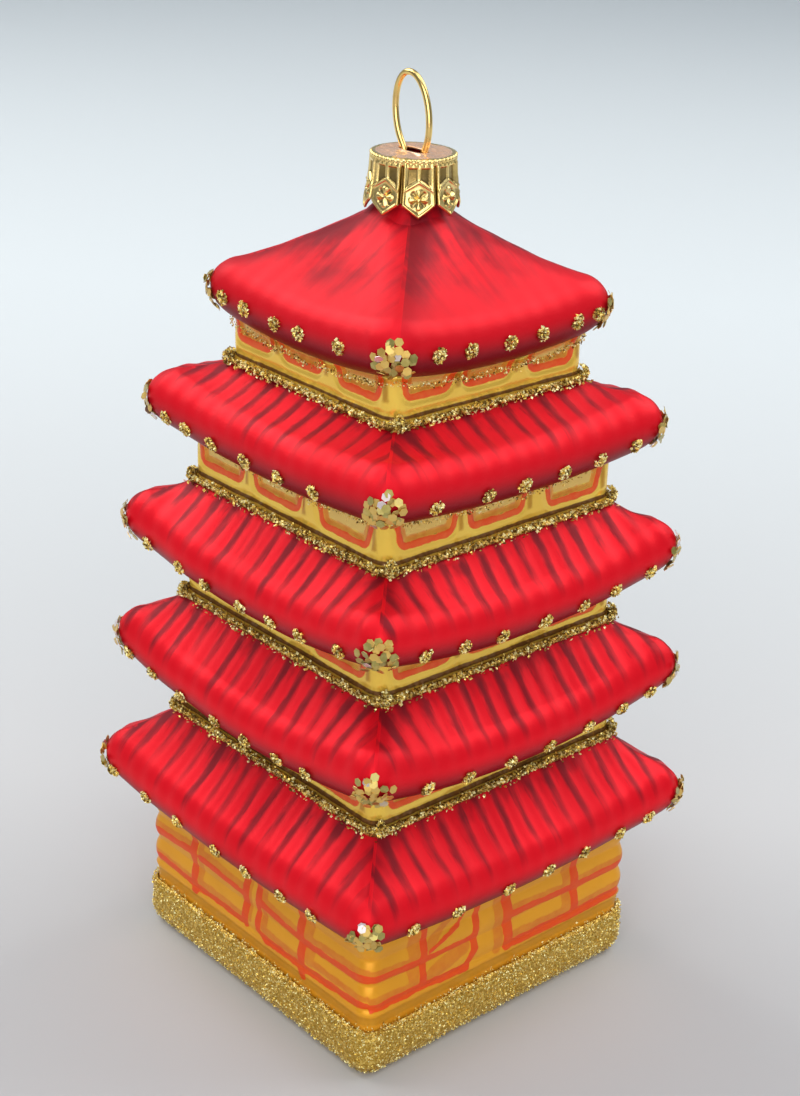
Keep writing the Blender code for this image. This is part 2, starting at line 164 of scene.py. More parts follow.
# Washes on the lowest wall, listed the same way: partly translucent paint, partly painted shade beside and above the
# red lines.
WASH_AND_SHADE_STROKES = [
    [(-28.0, 17.5, -14.6, 18.4, 0.40), (-13.0, 18.3, -1.5, 17.8, 0.40), (-12.9, 24.0, -13.0, 13.2, 0.42),
     (-28.0, 13.0, -14.6, 12.7, 0.35), (-13.0, 12.9, -1.7, 12.8, 0.42), (2.9, 24.0, 2.8, 13.0, 0.40),
     (2.8, 18.0, 11.3, 17.0, 0.35), (2.9, 12.9, 11.4, 12.5, 0.42), (12.9, 24.0, 13.4, 13.6, 0.80),
     (13.6, 13.4, 28.0, 13.3, 0.35), (12.6, 17.3, 28.0, 17.7, 0.40), (-0.4, 24.0, -0.6, 13.0, 0.30)],
    [(-18.2, 24.0, -17.4, 12.0, 0.75), (-1.7, 24.0, -1.0, 11.8, 0.60), (12.6, 24.0, 13.6, 12.0, 0.75),
     (-28.0, 17.6, -18.5, 17.1, 0.35), (1.9, 17.6, 12.8, 16.9, 0.36), (15.2, 17.0, 28.0, 17.3, 0.36),
     (1.9, 12.9, 13.4, 12.2, 0.50), (15.5, 12.2, 28.0, 12.6, 0.45), (-14.8, 12.8, -8.0, 14.8, 0.80),
     (-28.0, 12.9, -18.5, 12.7, 0.40), (-8.6, 24.0, -14.8, 18.0, 0.55)],
]

# Painted panels on an upper wall: middle and half width as shares of the wall's half side, and how
# far the lower edge stands over the roof below, in millimetres.
PANELS = [(-0.665, 0.225, 2.5), (-0.070, 0.235, 2.4), (0.610, 0.230, 2.1)]
PANEL_LEAN = 0.25
BRUSH_SPREAD = 1.6
PANEL_ROUND = 1.3
TOP_PANEL_LIFT = 0.7

# Glitter dots along each eave, in millimetres from the middle of a side: the sides that face -Y and +Y,
# then those that face +-X. The last number is how far round the rolled rim they sit, in degrees.
EAVE_DOTS = [
    ([-27.7, -19.1, -11.0, -1.5, 5.7, 13.8, 20.7], [-23.4, -15.1, -5.3, 2.7, 10.0, 17.5, 23.7], -20.0),
    ([-25.5, -19.5, -12.4, -4.1, 2.9, 10.2, 16.6], [-20.3, -12.8, -4.6, 2.8, 10.7, 17.6, 23.5], -22.0),
    ([-21.6, -13.9, -7.7, 0.5, 7.2, 13.5, 21.6], [-20.8, -13.8, -6.9, 1.3, 8.7, 15.2, 22.2], -19.0),
    ([-20.2, -15.6, -9.5, -2.0, 5.4, 12.8], [-17.7, -8.5, -1.9, 5.5, 12.5, 19.5], -18.0),
    ([-14.7, -9.9, -3.1, 1.9, 10.3], [-13.1, -7.4, -0.4, 5.5, 12.2, 16.1], -3.0),
]


class GlassSettings(bpy.types.PropertyGroup):
    """The lacquered and gilt glass."""
    side_steps: IntProperty(name="Points along a side", default=110, min=24,
                            description="Mesh points along each side of the body")
    corner_steps: IntProperty(name="Points round a corner", default=10, min=4,
                              description="Mesh points round each corner of the body")
    thickness: FloatProperty(name="Glass thickness", default=0.7 * MM, unit="LENGTH",
                             description="Thickness of the blown wall")
    rib_pitch: FloatProperty(name="Rib spacing", default=3.45 * MM, unit="LENGTH",
                             description="Distance between the moulded roof ribs")
    rib_depth: FloatProperty(name="Rib depth", default=0.16 * MM, unit="LENGTH",
                             description="Depth of the grooves between the roof ribs")
    wobble: FloatProperty(name="Blown unevenness", default=0.16 * MM, unit="LENGTH",
                          description="How far the blown glass strays from a true surface")
    lacquer: FloatVectorProperty(name="Red lacquer", subtype="COLOR", default=(0.88, 0.006, 0.018),
                                 description="Colour of the lacquer on the roofs")
    # The streak colour also paints shade: a painted shadow under the eave above on the ribbed roofs, painted shade
    # beside each hip and an even painted shade over the top roof.
    streak_and_shade: FloatVectorProperty(name="Brush streaks", subtype="COLOR", default=(0.105, 0.007, 0.014),
                                description="Colour of the dark streaks brushed down the roofs")
    # The eave shade colour is partly lacquer pooled round the rolled eave and partly painted shade on its underside.
    eave_shade: FloatVectorProperty(name="Eave shade", subtype="COLOR", default=(0.17, 0.002, 0.008),
                                    description="Colour of the lacquer pooled round the rolled eave")
    gilding: FloatVectorProperty(name="Bright gold", subtype="COLOR", default=(1.0, 0.68, 0.10),
                                 description="Colour of the mirror gilding on the upper walls")
    ochre: FloatVectorProperty(name="Satin gold", subtype="COLOR", default=(0.92, 0.41, 0.018),
                               description="Colour of the satin gold on the lowest wall")
    paint: FloatVectorProperty(name="Painted lines", subtype="COLOR", default=(0.86, 0.050, 0.003),
                               description="Colour of the hand-painted lines")


class GlitterSettings(bpy.types.PropertyGroup):
    """The glitter grit and its glue."""
    grain: FloatProperty(name="Grain size", default=0.50 * MM, unit="LENGTH",
                         description="Length of a common grain of the coarse glitter")
    fine_grain: FloatProperty(name="Fine grain size", default=0.33 * MM, unit="LENGTH",
                              description="Length of a common grain in the base band")
    base_count: IntProperty(name="Base grains", default=15000, min=100,
                            description="Number of grains in the base band")
    band_count: IntProperty(name="Band grains", default=2900, min=100,
                            description="Number of grains in each upper band")
    bead_count: IntProperty(name="Bead grains", default=170, min=10,
                            description="Number of grains in the bead on each band's corner")
    dot_count: IntProperty(name="Dot grains", default=100, min=5,
                           description="Number of grains in each eave dot")
    dot_size: FloatProperty(name="Dot size", default=2.15 * MM, unit="LENGTH",
                            description="Distance across an eave dot")
    colour: FloatVectorProperty(name="Glitter", subtype="COLOR", default=(1.0, 0.73, 0.15),
                                description="Colour of the glitter grains")
    glue: FloatVectorProperty(name="Glue", subtype="COLOR", default=(0.16, 0.085, 0.012),
                              description="Colour of the glitter-filled glue between the grains")
    base_glue: FloatVectorProperty(name="Base glue", subtype="COLOR", default=(0.50, 0.30, 0.035),
                                   description="Colour of the glue under the fine grains of the base band")
    seed: IntProperty(name="Seed", default=11, description="Start of the random scatter")


class SequinSettings(bpy.types.PropertyGroup):
    """The sequin clusters."""
    width: FloatProperty(name="Sequin width", default=1.08 * MM, unit="LENGTH",
                         description="Distance across the flats of a six-sided sequin")
    thickness: FloatProperty(name="Sequin thickness", default=0.07 * MM, unit="LENGTH",
                             description="Thickness of a sequin")
    count: IntProperty(name="Sequins", default=32, min=3,
                       description="Number of sequins in a cluster")
    spread: FloatProperty(name="Cluster radius", default=2.55 * MM, unit="LENGTH",
                          description="Radius of a cluster of sequins")
    colour: FloatVectorProperty(name="Sequin gold", subtype="COLOR", default=(0.76, 0.49, 0.11),
                                description="Colour of the common sequins")
    pale: FloatVectorProperty(name="Pale sequin", subtype="COLOR", default=(0.80, 0.70, 0.72),
                              description="Colour of the few pale sequins")


class MetalSettings(bpy.types.PropertyGroup):
    """The stamped cap and its wire."""
    cap: FloatVectorProperty(name="Cap gold", subtype="COLOR", default=(0.96, 0.70, 0.24),
                             description="Colour of the stamped cap")
    cap_top: FloatVectorProperty(name="Cap top", subtype="COLOR", default=(1.0, 0.62, 0.41),
                                 description="Colour of the crinkled top of the cap")
    wire: FloatVectorProperty(name="Wire", subtype="COLOR", default=(0.98, 0.70, 0.24),
                              description="Colour of the wire")
    relief: FloatProperty(name="Stamping", default=0.21 * MM, unit="LENGTH",
                          description="Height of the stamped relief on the petals")


class StudioSettings(bpy.types.PropertyGroup):
    """The floor, the lights and the camera."""
    floor: FloatVectorProperty(name="Floor", subtype="COLOR", default=(0.53, 0.515, 0.51),
                               description="Colour of the plain floor under the ornament")
    far_floor: FloatVectorProperty(name="Far floor", subtype="COLOR", default=(0.76, 0.80, 0.81),
                                   description="Colour of the plain floor far behind the ornament")
    sky: FloatVectorProperty(name="Room light", subtype="COLOR", default=(0.80, 0.88, 1.0),
                             description="Colour of the even light of the room")
    sky_strength: FloatProperty(name="Room light strength", default=0.50, min=0.0,
                                description="Strength of the even light of the room")
    camera_place: FloatVectorProperty(name="Camera", subtype="TRANSLATION", unit="LENGTH",
                                      default=(0.19605, -0.17596, 0.18244),
                                      description="Place of the camera")
    camera_turn: FloatVectorProperty(name="Camera turn", subtype="EULER", unit="ROTATION",
                                     default=[math.radians(a) for a in (66.204, -2.031, 48.866)],
                                     description="Turn of the camera")
    lens: FloatProperty(name="Lens", default=64.737, min=1.0,
                        description="Focal length of the camera in millimetres")


class OrnamentSettings(bpy.types.PropertyGroup):
    """All settings of the ornament."""
    glass: PointerProperty(type=GlassSettings)
    glitter: PointerProperty(type=GlitterSettings)
    sequins: PointerProperty(type=SequinSettings)
    metal: PointerProperty(type=MetalSettings)
    studio: PointerProperty(type=StudioSettings)


def blend(low, high, share):
    return low + (high - low) * np.clip(share, 0.0, 1.0)


def smooth(low, high, value):
    """Rises from 0 at low to 1 at high along 3t squared less 2t cubed."""
    share = np.clip((value - low) / (high - low), 0.0, 1.0)
    return share * share * (3.0 - 2.0 * share)


def waves(points, length, seed, count=7):
    """A gentle uneven field between about -1 and 1: the mean of sine waves of about the given length
    that run in random directions through the points."""
    rng = np.random.default_rng(seed)
    ways = rng.normal(size=(count, 3))
    ways *= (rng.uniform(0.7, 1.5, count) * 2.0 * math.pi / length / np.linalg.norm(ways, axis=1))[:, None]
    return np.sin(points @ ways.T + rng.uniform(0.0, 2.0 * math.pi, count)).mean(axis=-1) * 1.6


class Finish:
    """A node material being mixed."""

    def __init__(self, name):
        self.material = bpy.data.materials.new(name)
        self.material.use_nodes = True
        self.tree = self.material.node_tree
        self.shader = self.tree.nodes["Principled BSDF"]

    def node(self, kind, settings=None, sockets=None):
        """A node of a kind: its settings first, a ramp's stops among them, then its sockets' values
        or links, by name or number."""
        made = self.tree.nodes.new(kind)
        for key, value in (settings or {}).items():
            if key == "stops":
                ramp = made.color_ramp.elements
                while len(ramp) < len(value):
                    ramp.new(0.5)
                for stop, (place, colour) in zip(ramp, value):
                    stop.position = place
                    stop.color = (*colour, 1.0)
            else:
                setattr(made, key, value)
        for key, value in (sockets or {}).items():
            self.plug(made.inputs[key], value)
        return made

    def plug(self, socket, value):
        if isinstance(value, Term):
            self.tree.links.new(value.socket, socket)
        elif socket.type == "RGBA" and len(value) == 3:
            socket.default_value = (*value, 1.0)
        else:
            socket.default_value = value

    def term(self, kind, settings=None, sockets=None, output=0):
        return Term(self, self.node(kind, settings, sockets).outputs[output])

    def set(self, **sockets):
        """Sets the shader's sockets, named with underscores for spaces."""
        for key, value in sockets.items():
            self.plug(self.shader.inputs[key.replace("_", " ")], value)

    def place(self):
        """The Object coordinates, as a vector and as its three numbers."""
        place = self.term("ShaderNodeTexCoord", output="Object")
        split = self.node("ShaderNodeSeparateXYZ", sockets={0: place})
        return place, [Term(self, socket) for socket in split.outputs]

    def measure(self, name):
        return self.term("ShaderNodeAttribute", {"attribute_name": name}, output="Fac")

    def noise(self, vector, scale, detail=2.0, roughness=0.5):
        return self.term("ShaderNodeTexNoise", None,
                         {"Vector": vector, "Scale": scale, "Detail": detail, "Roughness": roughness})

    def vector(self, x, y, z):
        return self.term("ShaderNodeCombineXYZ", None, {0: x, 1: y, 2: z})

    def rise(self, value, low, high, floor=0.0, ceiling=1.0):
        """A smooth step from floor, where the value is low, to ceiling, where it is high."""
        return self.term("ShaderNodeMapRange", {"interpolation_type": "SMOOTHSTEP"},
                         {0: value, 1: low, 2: high, 3: floor, 4: ceiling})

    def mix(self, factor, first, second):
        """A colour between two colours."""
        return self.term("ShaderNodeMix", {"data_type": "RGBA"}, {0: factor, 6: first, 7: second}, 2)

    def bump(self, height, distance, strength=1.0, normal=None):
        sockets = {"Height": height, "Distance": distance, "Strength": strength}
        if normal is not None:
            sockets["Normal"] = normal
        return self.term("ShaderNodeBump", None, sockets)


class Term:
    """A socket in a material's node tree, with arithmetic that adds Math nodes."""

    def __init__(self, finish, socket):
        self.finish = finish
        self.socket = socket

    def maths(self, operation, *values):
        return self.finish.term("ShaderNodeMath", {"operation": operation}, dict(enumerate(values)))

    def __add__(self, other):
        return self.maths("ADD", self, other)

    __radd__ = __add__

    def __mul__(self, other):
        return self.maths("MULTIPLY", self, other)

    __rmul__ = __mul__

    def __sub__(self, other):
        return self.maths("SUBTRACT", self, other)

    def __rsub__(self, other):
        return self.maths("SUBTRACT", other, self)

    def __truediv__(self, other):
        return self.maths("DIVIDE", self, other)

    def __abs__(self):
        return self.maths("ABSOLUTE", self)

    def __gt__(self, other):
        return self.maths("GREATER_THAN", self, other)

    def sine(self):
        return self.maths("SINE", self)

    def power(self, other):
        return self.maths("POWER", self, other)


def along_side(finish, numbers):
    """Distance along whichever side a point is on, and a number that differs from side to side."""
    x, y, _ = numbers
    on_x = abs(x) > abs(y)
    along = x + (y - x) * on_x
    side = on_x * (x > 0.0) + (1.0 - on_x) * ((y > 0.0) + 2.0)
    return along, side


def roof_lacquer(glass, name, ribbed):
    """Satin red lacquer over silvered glass, with dark streaks brushed down the slope. A ribbed roof's
    streaks follow its grooves, and a smooth one's are diffuse. The streak colour also paints shade: a
    painted shadow at the top of a ribbed slope under the eave above, painted shade beside the hip at
    the left end of each side, and an even painted shade over the whole smooth top roof. The rolled
    eave darkens towards its underside, partly with pooled lacquer and partly with painted shade."""
    finish = Finish(name)
    place, numbers = finish.place()
    along, side = along_side(finish, numbers)
    up = finish.measure("up")
    hip = finish.measure("hip")
    number = finish.measure("storey")
    lane = finish.vector(along, up * 0.0006, side * 0.05 + number * 0.013)
    stray = finish.noise(place, 95.0, 2.0)
    rib = (along * (2.0 * math.pi / glass.rib_pitch) + stray * 2.2 + side * 1.3 + math.pi).sine()
    length = finish.noise(lane, 240.0, 2.0, 0.6)
    bristle = finish.noise(finish.vector(along, up * 0.0012, side * 0.05), 1500.0, 3.0, 0.6)
    broad = finish.noise(finish.vector(along, up * 0.0045, side * 0.05 + number * 0.02), 330.0, 2.0, 0.6)
    if ribbed:
        reach = finish.rise(up + length * 1.3, 0.10, 0.90) * finish.rise(up, -0.52, -0.10)
        reach = reach * finish.rise(up + length * 0.4, 1.20, 0.85, 0.55, 1.0)
        groove = finish.rise(rib + bristle * 1.4, 0.10, 1.95)
        streak_and_shade = groove * reach * finish.rise(length, 0.28, 0.62, 0.35, 1.1)
        streak_and_shade = streak_and_shade + finish.rise(bristle, 0.50, 0.78) * reach * 0.30
        streak_and_shade = streak_and_shade + finish.rise(broad, 0.44, 0.72) * finish.rise(up, 0.1, 0.8) * 0.40
        # Painted shadow: the top of the slope darkens under the eave above.
        streak_and_shade = streak_and_shade + finish.rise(up + broad * 0.6, 0.80, 1.40) * 0.40
    else:
        reach = finish.rise(up + length * 0.7, 0.30, 1.05)
        soft = finish.noise(finish.vector(along, up * 0.012, side * 0.05), 170.0, 3.0, 0.55)
        # The added 0.26 is an even painted shade over the whole top roof.
        streak_and_shade = finish.rise(soft + bristle * 0.30, 0.40, 1.0) * reach * 0.9 + 0.26
        streak_and_shade = streak_and_shade + finish.rise(rib + bristle, 0.3, 2.2) * reach * 0.30
    # Painted shade beside the hip at the left end of each side.
    streak_and_shade = streak_and_shade + finish.rise(hip, 6.5, 0.3) * finish.rise(up, -0.55, 0.25) * 0.42
    cloud = finish.rise(finish.noise(place, 60.0, 3.0), 0.35, 0.75)
    red = finish.mix(cloud * 0.25, tuple(glass.lacquer), (0.58, 0.004, 0.012))
    # The rolled eave darkens towards its underside: partly pooled lacquer, partly painted shade.
    red = finish.mix(finish.rise(up, -0.30, -0.68) * 0.92, red, tuple(glass.eave_shade))
    colour = finish.mix(finish.rise(streak_and_shade, 0.0, 1.25) * 0.80, red, tuple(glass.streak_and_shade))
    grain = finish.noise(place, 2600.0, 2.0)
    finish.set(Base_Color=colour, Metallic=0.35, Specular_IOR_Level=0.18,
               Roughness=finish.rise(cloud + streak_and_shade * 0.6, 0.0, 1.3, 0.40, 0.52),
               Coat_Weight=0.03, Coat_Roughness=0.3,
               Normal=finish.bump(grain + bristle * 0.8, 0.00003, 0.5))
    return finish.material


def painted_gold(glass, name, satin):
    """Gilt glass with hand-painted lines. The surface carries its distance from the nearest red
    stroke, translucent washes, amber stroke and panel, and from the band at an upper wall's foot, in
    millimetres, below nought inside them. On the lowest wall the washes are partly paint and partly
    painted shade beside and above the red lines, and the amber band is painted shade under the plinth
    ledge. The band at an upper wall's foot is a painted dark reflection."""
    finish = Finish(name)
    place, numbers = finish.place()
    shake = finish.noise(place, 420.0, 2.0) - 0.5
    fine = finish.noise(place, 1900.0, 2.0) - 0.5
    edge = shake * 0.55 + fine * 0.16
    red = finish.rise(finish.measure("red") + edge, 0.07, -0.07)
    wash = finish.rise(finish.measure("wash") + edge * 1.3, 0.16, -0.16)
    amber = finish.rise(finish.measure("amber") + edge, 0.25, -0.25)
    panel = finish.rise(finish.measure("panel") + edge * 0.8, 0.08, -0.08)
    foot = finish.rise(finish.measure("foot") + edge * 0.6, 0.10, -0.10)
    cloud = finish.rise(finish.noise(place, 110.0, 3.0), 0.3, 0.75)
    base = tuple(glass.ochre) if satin else tuple(glass.gilding)
    dull = (0.68, 0.27, 0.015) if satin else (0.80, 0.46, 0.05)
    gold = finish.mix(cloud * 0.35, base, dull)
    gold = finish.mix(panel * (0.0 if satin else 0.7), gold, (0.78, 0.54, 0.17))
    # On the lowest wall this amber band is painted shade under the plinth ledge.
    gold = finish.mix(amber * (0.45 if satin else 0.75), gold, (0.44, 0.19, 0.01))
    thin = finish.rise(finish.noise(place, 700.0, 3.0), 0.3, 0.7)
    # Painted reflection: a dark brown band at an upper wall's foot, just over the glitter band.
    gold = finish.mix(foot * 0.92, gold, (0.13, 0.036, 0.014))
    # Translucent washes; on the lowest wall partly painted shade beside and above the red lines.
    gold = finish.mix(wash * (0.50 + thin * 0.25), gold, (0.74, 0.16, 0.012))
    strong = finish.mix(thin * 0.35, tuple(glass.paint), (0.90, 0.11, 0.008))
    colour = finish.mix(red * (0.86 + thin * 0.12), gold, strong)
    cover = finish.rise(red + wash * 0.5 + panel * 0.4, 0.0, 1.0)
    low, high = (0.36, 0.44) if satin else (0.18, 0.38)
    finish.set(Base_Color=colour, Metallic=finish.rise(cover, 0.0, 1.0, 0.30 if satin else 0.45, 0.10),
               Roughness=finish.rise(cover + cloud * 0.3, 0.0, 1.2, low, high), Specular_IOR_Level=0.3,
               Coat_Weight=0.06 if satin else 0.15, Coat_Roughness=0.15,
               Normal=finish.bump(red * 0.8 + wash * 0.3 + fine * 0.3, 0.00006, 0.6))
    return finish.material


def glitter_metal(glitter, name):
    """Bright glitter splinters, each with its own tint and polish. The palest are painted glints:
    a near-white yellow with less metal.
    """
    finish = Finish(name)
    place, _ = finish.place()
    tint = finish.measure("tint")
    warm = finish.mix(finish.rise(tint, 0.05, 0.55), (0.16, 0.085, 0.01), tuple(glitter.colour))
    # Painted glints: the palest grains turn a near-white yellow.
    bright = finish.rise(tint, 0.50, 0.86)
    colour = finish.mix(bright, warm, (1.0, 0.93, 0.46))
    speck = finish.noise(place, 3000.0, 1.0)
    finish.set(Base_Color=colour, Metallic=finish.rise(bright, 0.0, 1.0, 0.62, 0.30),
               Roughness=finish.rise(tint + speck * 0.3, 0.0, 1.3, 0.36, 0.18))
    return finish.material


def glitter_glue(glue, name):
    """Clear glue of a colour, full of the finest glitter dust."""
    finish = Finish(name)
    place, _ = finish.place()
    cells = finish.term("ShaderNodeTexVoronoi", {"feature": "F1"}, {"Vector": place, "Scale": 3600.0}, "Color")
    dust = finish.term("ShaderNodeSeparateColor", None, {0: cells}, 0)
    colour = finish.mix(finish.rise(dust, 0.35, 0.95), tuple(glue), (0.86, 0.60, 0.14))
    finish.set(Base_Color=colour, Metallic=0.7, Roughness=finish.rise(dust, 0.0, 1.0, 0.55, 0.25),
               Normal=finish.bump(dust + finish.noise(place, 2200.0, 2.0), 0.00012, 0.9))
    return finish.material


def sequin_film(sequins, name):
    """Metallised film: most pieces gold, some greener, a few pinkish white."""
    finish = Finish(name)
    place, _ = finish.place()
    tint = finish.measure("tint")
    colour = finish.mix(finish.rise(tint, 0.35, 0.80), tuple(sequins.colour), (0.40, 0.35, 0.09))
    colour = finish.mix(finish.rise(tint, 0.93, 0.95), colour, tuple(sequins.pale))
    haze = finish.noise(place, 1500.0, 3.0)
    finish.set(Base_Color=finish.mix(finish.rise(haze, 0.4, 0.8) * 0.3, colour, (0.85, 0.68, 0.30)),
               Metallic=0.75, Roughness=finish.rise(haze, 0.3, 0.7, 0.28, 0.45), Coat_Weight=0.4,
               Coat_Roughness=0.15, Normal=finish.bump(haze, 0.00003, 0.5))
    return finish.material


def stamped_metal(metal, name):
    """Gold-coloured stamped sheet: painted shade darkens the folds and the sunk stamping, and the
    crinkled top is pinkish.
    """
    finish = Finish(name)
    place, _ = finish.place()
    depth = finish.measure("depth")
    top = finish.measure("top")
    haze = finish.noise(place, 900.0, 3.0)
    gold = finish.mix(finish.rise(haze, 0.35, 0.75) * 0.4, tuple(metal.cap), (0.92, 0.74, 0.40))
    # Painted shade: the folds and the sunk stamping are darkened.
    gold = finish.mix(finish.rise(depth, -0.02, -0.24) * 0.9, gold, (0.16, 0.09, 0.02))
    colour = finish.mix(finish.rise(top, 0.4, 0.9), gold, tuple(metal.cap_top))
    finish.set(Base_Color=colour, Metallic=finish.rise(top, 0.4, 0.9, 1.0, 0.6),
               Roughness=finish.rise(haze, 0.3, 0.7, 0.15, 0.26),
               Normal=finish.bump(finish.noise(place, 2400.0, 3.0), 0.00004, 0.5))
    return finish.material


def drawn_wire(metal, name):
    """Bright drawn wire with faint lengthwise tarnish."""
    finish = Finish(name)
    place, _ = finish.place()
    tarnish = finish.rise(finish.noise(place, 420.0, 3.0), 0.45, 0.8)
    finish.set(Base_Color=finish.mix(tarnish * 0.5, tuple(metal.wire), (0.50, 0.24, 0.10)), Metallic=1.0,
               Roughness=finish.rise(tarnish, 0.0, 1.0, 0.14, 0.30),
               Normal=finish.bump(finish.noise(place, 3000.0, 2.0), 0.00002, 0.4))
    return finish.material


def plain_floor(studio, name):
    """Plain pale matt floor, a little cooler and paler away from the camera."""
    finish = Finish(name)
    place, numbers = finish.place()
    tone = finish.noise(place, 3.0, 2.0) * 0.1
    away = finish.rise((numbers[1] - numbers[0]) * 0.707, -0.15, 0.45)
    finish.set(Base_Color=finish.mix(away + tone, tuple(studio.floor), tuple(studio.far_floor)),
               Roughness=0.9, Specular_IOR_Level=0.2)
    return finish.material


def lay_mesh(name, points, faces, material, measures=None, sharp_angle=None, flat=False):
    """A mesh object from an array of points and arrays of face corners, one array for each number of
    corners, with named numbers on its points."""
    data = bpy.data.meshes.new(name)
    points = np.asarray(points, dtype=np.float32).reshape(-1, 3)
    data.vertices.add(len(points))
    data.vertices.foreach_set("co", points.ravel())
    corners = np.concatenate([part.ravel() for part in faces]).astype(np.int32)
    sizes = np.concatenate([np.full(len(part), part.shape[1]) for part in faces])
    starts = np.concatenate([[0], np.cumsum(sizes)[:-1]]).astype(np.int32)
    data.loops.add(len(corners))
    data.loops.foreach_set("vertex_index", corners)
    data.polygons.add(len(sizes))
    data.polygons.foreach_set("loop_start", starts)
    for key, values in (measures or {}).items():
        field = data.attributes.new(key, "FLOAT", "POINT")
        field.data.foreach_set("value", np.asarray(values, dtype=np.float32).ravel())
    data.update(calc_edges=True)
    if data.validate():
        raise RuntimeError(f"{name} has faulty faces")
    if flat:
        data.shade_flat()
    else:
        data.shade_smooth()
        if sharp_angle:
            data.set_sharp_from_angle(angle=math.radians(sharp_angle))
    data.materials.append(material)
    made = bpy.data.objects.new(name, data)
    bpy.context.scene.collection.objects.link(made)
    return made


def join_rows(rows, count, loop=False):
    """Four-cornered faces between neighbouring rows of points, each row a closed ring of count points
    that runs anticlockwise, so that rows that climb face outwards. A loop's last row meets its first."""
    first = np.arange(rows if loop else rows - 1)[:, None]
    second = (first + 1) % rows
    here = np.arange(count)[None]
    after = (here + 1) % count
    quads = [first * count + here, first * count + after, second * count + after, second * count + here]
    return np.stack(quads, axis=2).reshape(-1, 4)


def outward(points):
    """The way out of a ring grid at each point: the step round the ring crossed with the step up."""
    around = np.roll(points, -1, axis=1) - np.roll(points, 1, axis=1)
    way = np.cross(around, np.gradient(points, axis=0))
    return way / np.maximum(np.linalg.norm(way, axis=2, keepdims=True), 1e-12)


class Walk:
    """A walk round a square with arc corners, anticlockwise from the corner in +X +Y: for each point
    the share of the reach that its corner centre stands at, its way out, its even turn round a circle
    and how far it is from a corner's middle, from 0 to 1."""

    def __init__(self, corner_steps, side_steps):
        signs = np.array([(1, 1), (-1, 1), (-1, -1), (1, -1)], float)
        bend = np.arange(corner_steps + 1) / corner_steps
        run = np.arange(1, side_steps) / side_steps
        middles, turns, circle, off = [], [], [], []
        for corner in range(4):
            here, after = signs[corner], signs[(corner + 1) % 4]
            middles += [np.repeat(here[None], len(bend), axis=0), here + (after - here) * run[:, None]]
            turns += [90.0 * (corner + bend), np.full(len(run), 90.0 * (corner + 1))]
            circle += [90.0 * corner + 22.5 + 45.0 * bend, 90.0 * corner + 67.5 + 45.0 * run]
            off += [abs(2.0 * bend - 1.0), np.ones(len(run))]
        turn = np.radians(np.concatenate(turns))
        self.middle = np.concatenate(middles)
        self.way = np.column_stack([np.cos(turn), np.sin(turn)])
        circle = np.radians(np.concatenate(circle))
        self.circle = np.column_stack([np.cos(circle), np.sin(circle)])
        self.off_corner = np.concatenate(off)
        self.count = len(turn)


def fall(droop, from_axis, half_side, radius):
    """How far a point lies under its ring's corners: a parabola along each side, from the full droop
    at the middle to none at the corner."""
    corner = half_side - radius + radius / math.sqrt(2.0)
    return droop * np.maximum(0.0, 1.0 - (from_axis / corner) ** 2)


def loft(walk, profile):
    """Rings up an outline whose rows are half side, height, plan radius and droop: the corner centre
    plus the way out times the radius, drawn towards a circle near the neck, less the eave's fall."""
    side, height, radius, droop = (column[:, None] for column in profile.T)
    plan = walk.middle[None] * (side - radius)[..., None] + walk.way[None] * radius[..., None]
    drop = fall(droop, np.abs(plan).min(axis=2), side, radius)
    start = TOP.eave_height + 0.5 * TOP.rim
    round_share = np.clip((height - start) / (TOP.top_height - start), 0.0, 1.0) ** 3
    plan = plan + (walk.circle[None] * side[..., None] - plan) * round_share[..., None]
    return np.dstack([plan, np.broadcast_to(height, drop.shape) - drop])


def arc(centre, radius, start, end, steps):
    """Half sides and heights on an arc of an outline, angles in degrees from straight out."""
    angle = np.radians(np.linspace(start, end, steps + 1))
    return centre[0] + radius * np.cos(angle), centre[1] + radius * np.sin(angle)


def rim_profile(storey, steps):
    """The rolled rim of a roof, from its underside outwards and up to the slope: rows of half side,
    height, plan radius and droop."""
    side, height = arc((storey.eave - storey.rim, storey.eave_height), storey.rim,
                       storey.underside_angle(), storey.slope_angle(), steps)
    share = (side - storey.wall) / (storey.eave - 0.5 * storey.rim - storey.wall)
    radius = blend(WALL_CORNER, storey.eave_corner, share)
    return np.column_stack([side, height, radius, np.full(len(side), storey.droop)])


def slope_profile(storey, steps):
    """The roof above its rim: a straight slope less a scoop of 4t(1 - t)."""
    first = rim_profile(storey, 1)[-1]
    share = np.arange(1, steps + 1) / steps
    scoop = TOP_SLOPE_SCOOP if storey is TOP else SLOPE_SCOOP
    return np.column_stack([
        blend(first[0], storey.top, share),
        blend(first[1], storey.top_height, share) - scoop * 4.0 * share * (1.0 - share),
        blend(first[2], HIP_CORNER, share), storey.droop * (1.0 - share) ** 1.5])


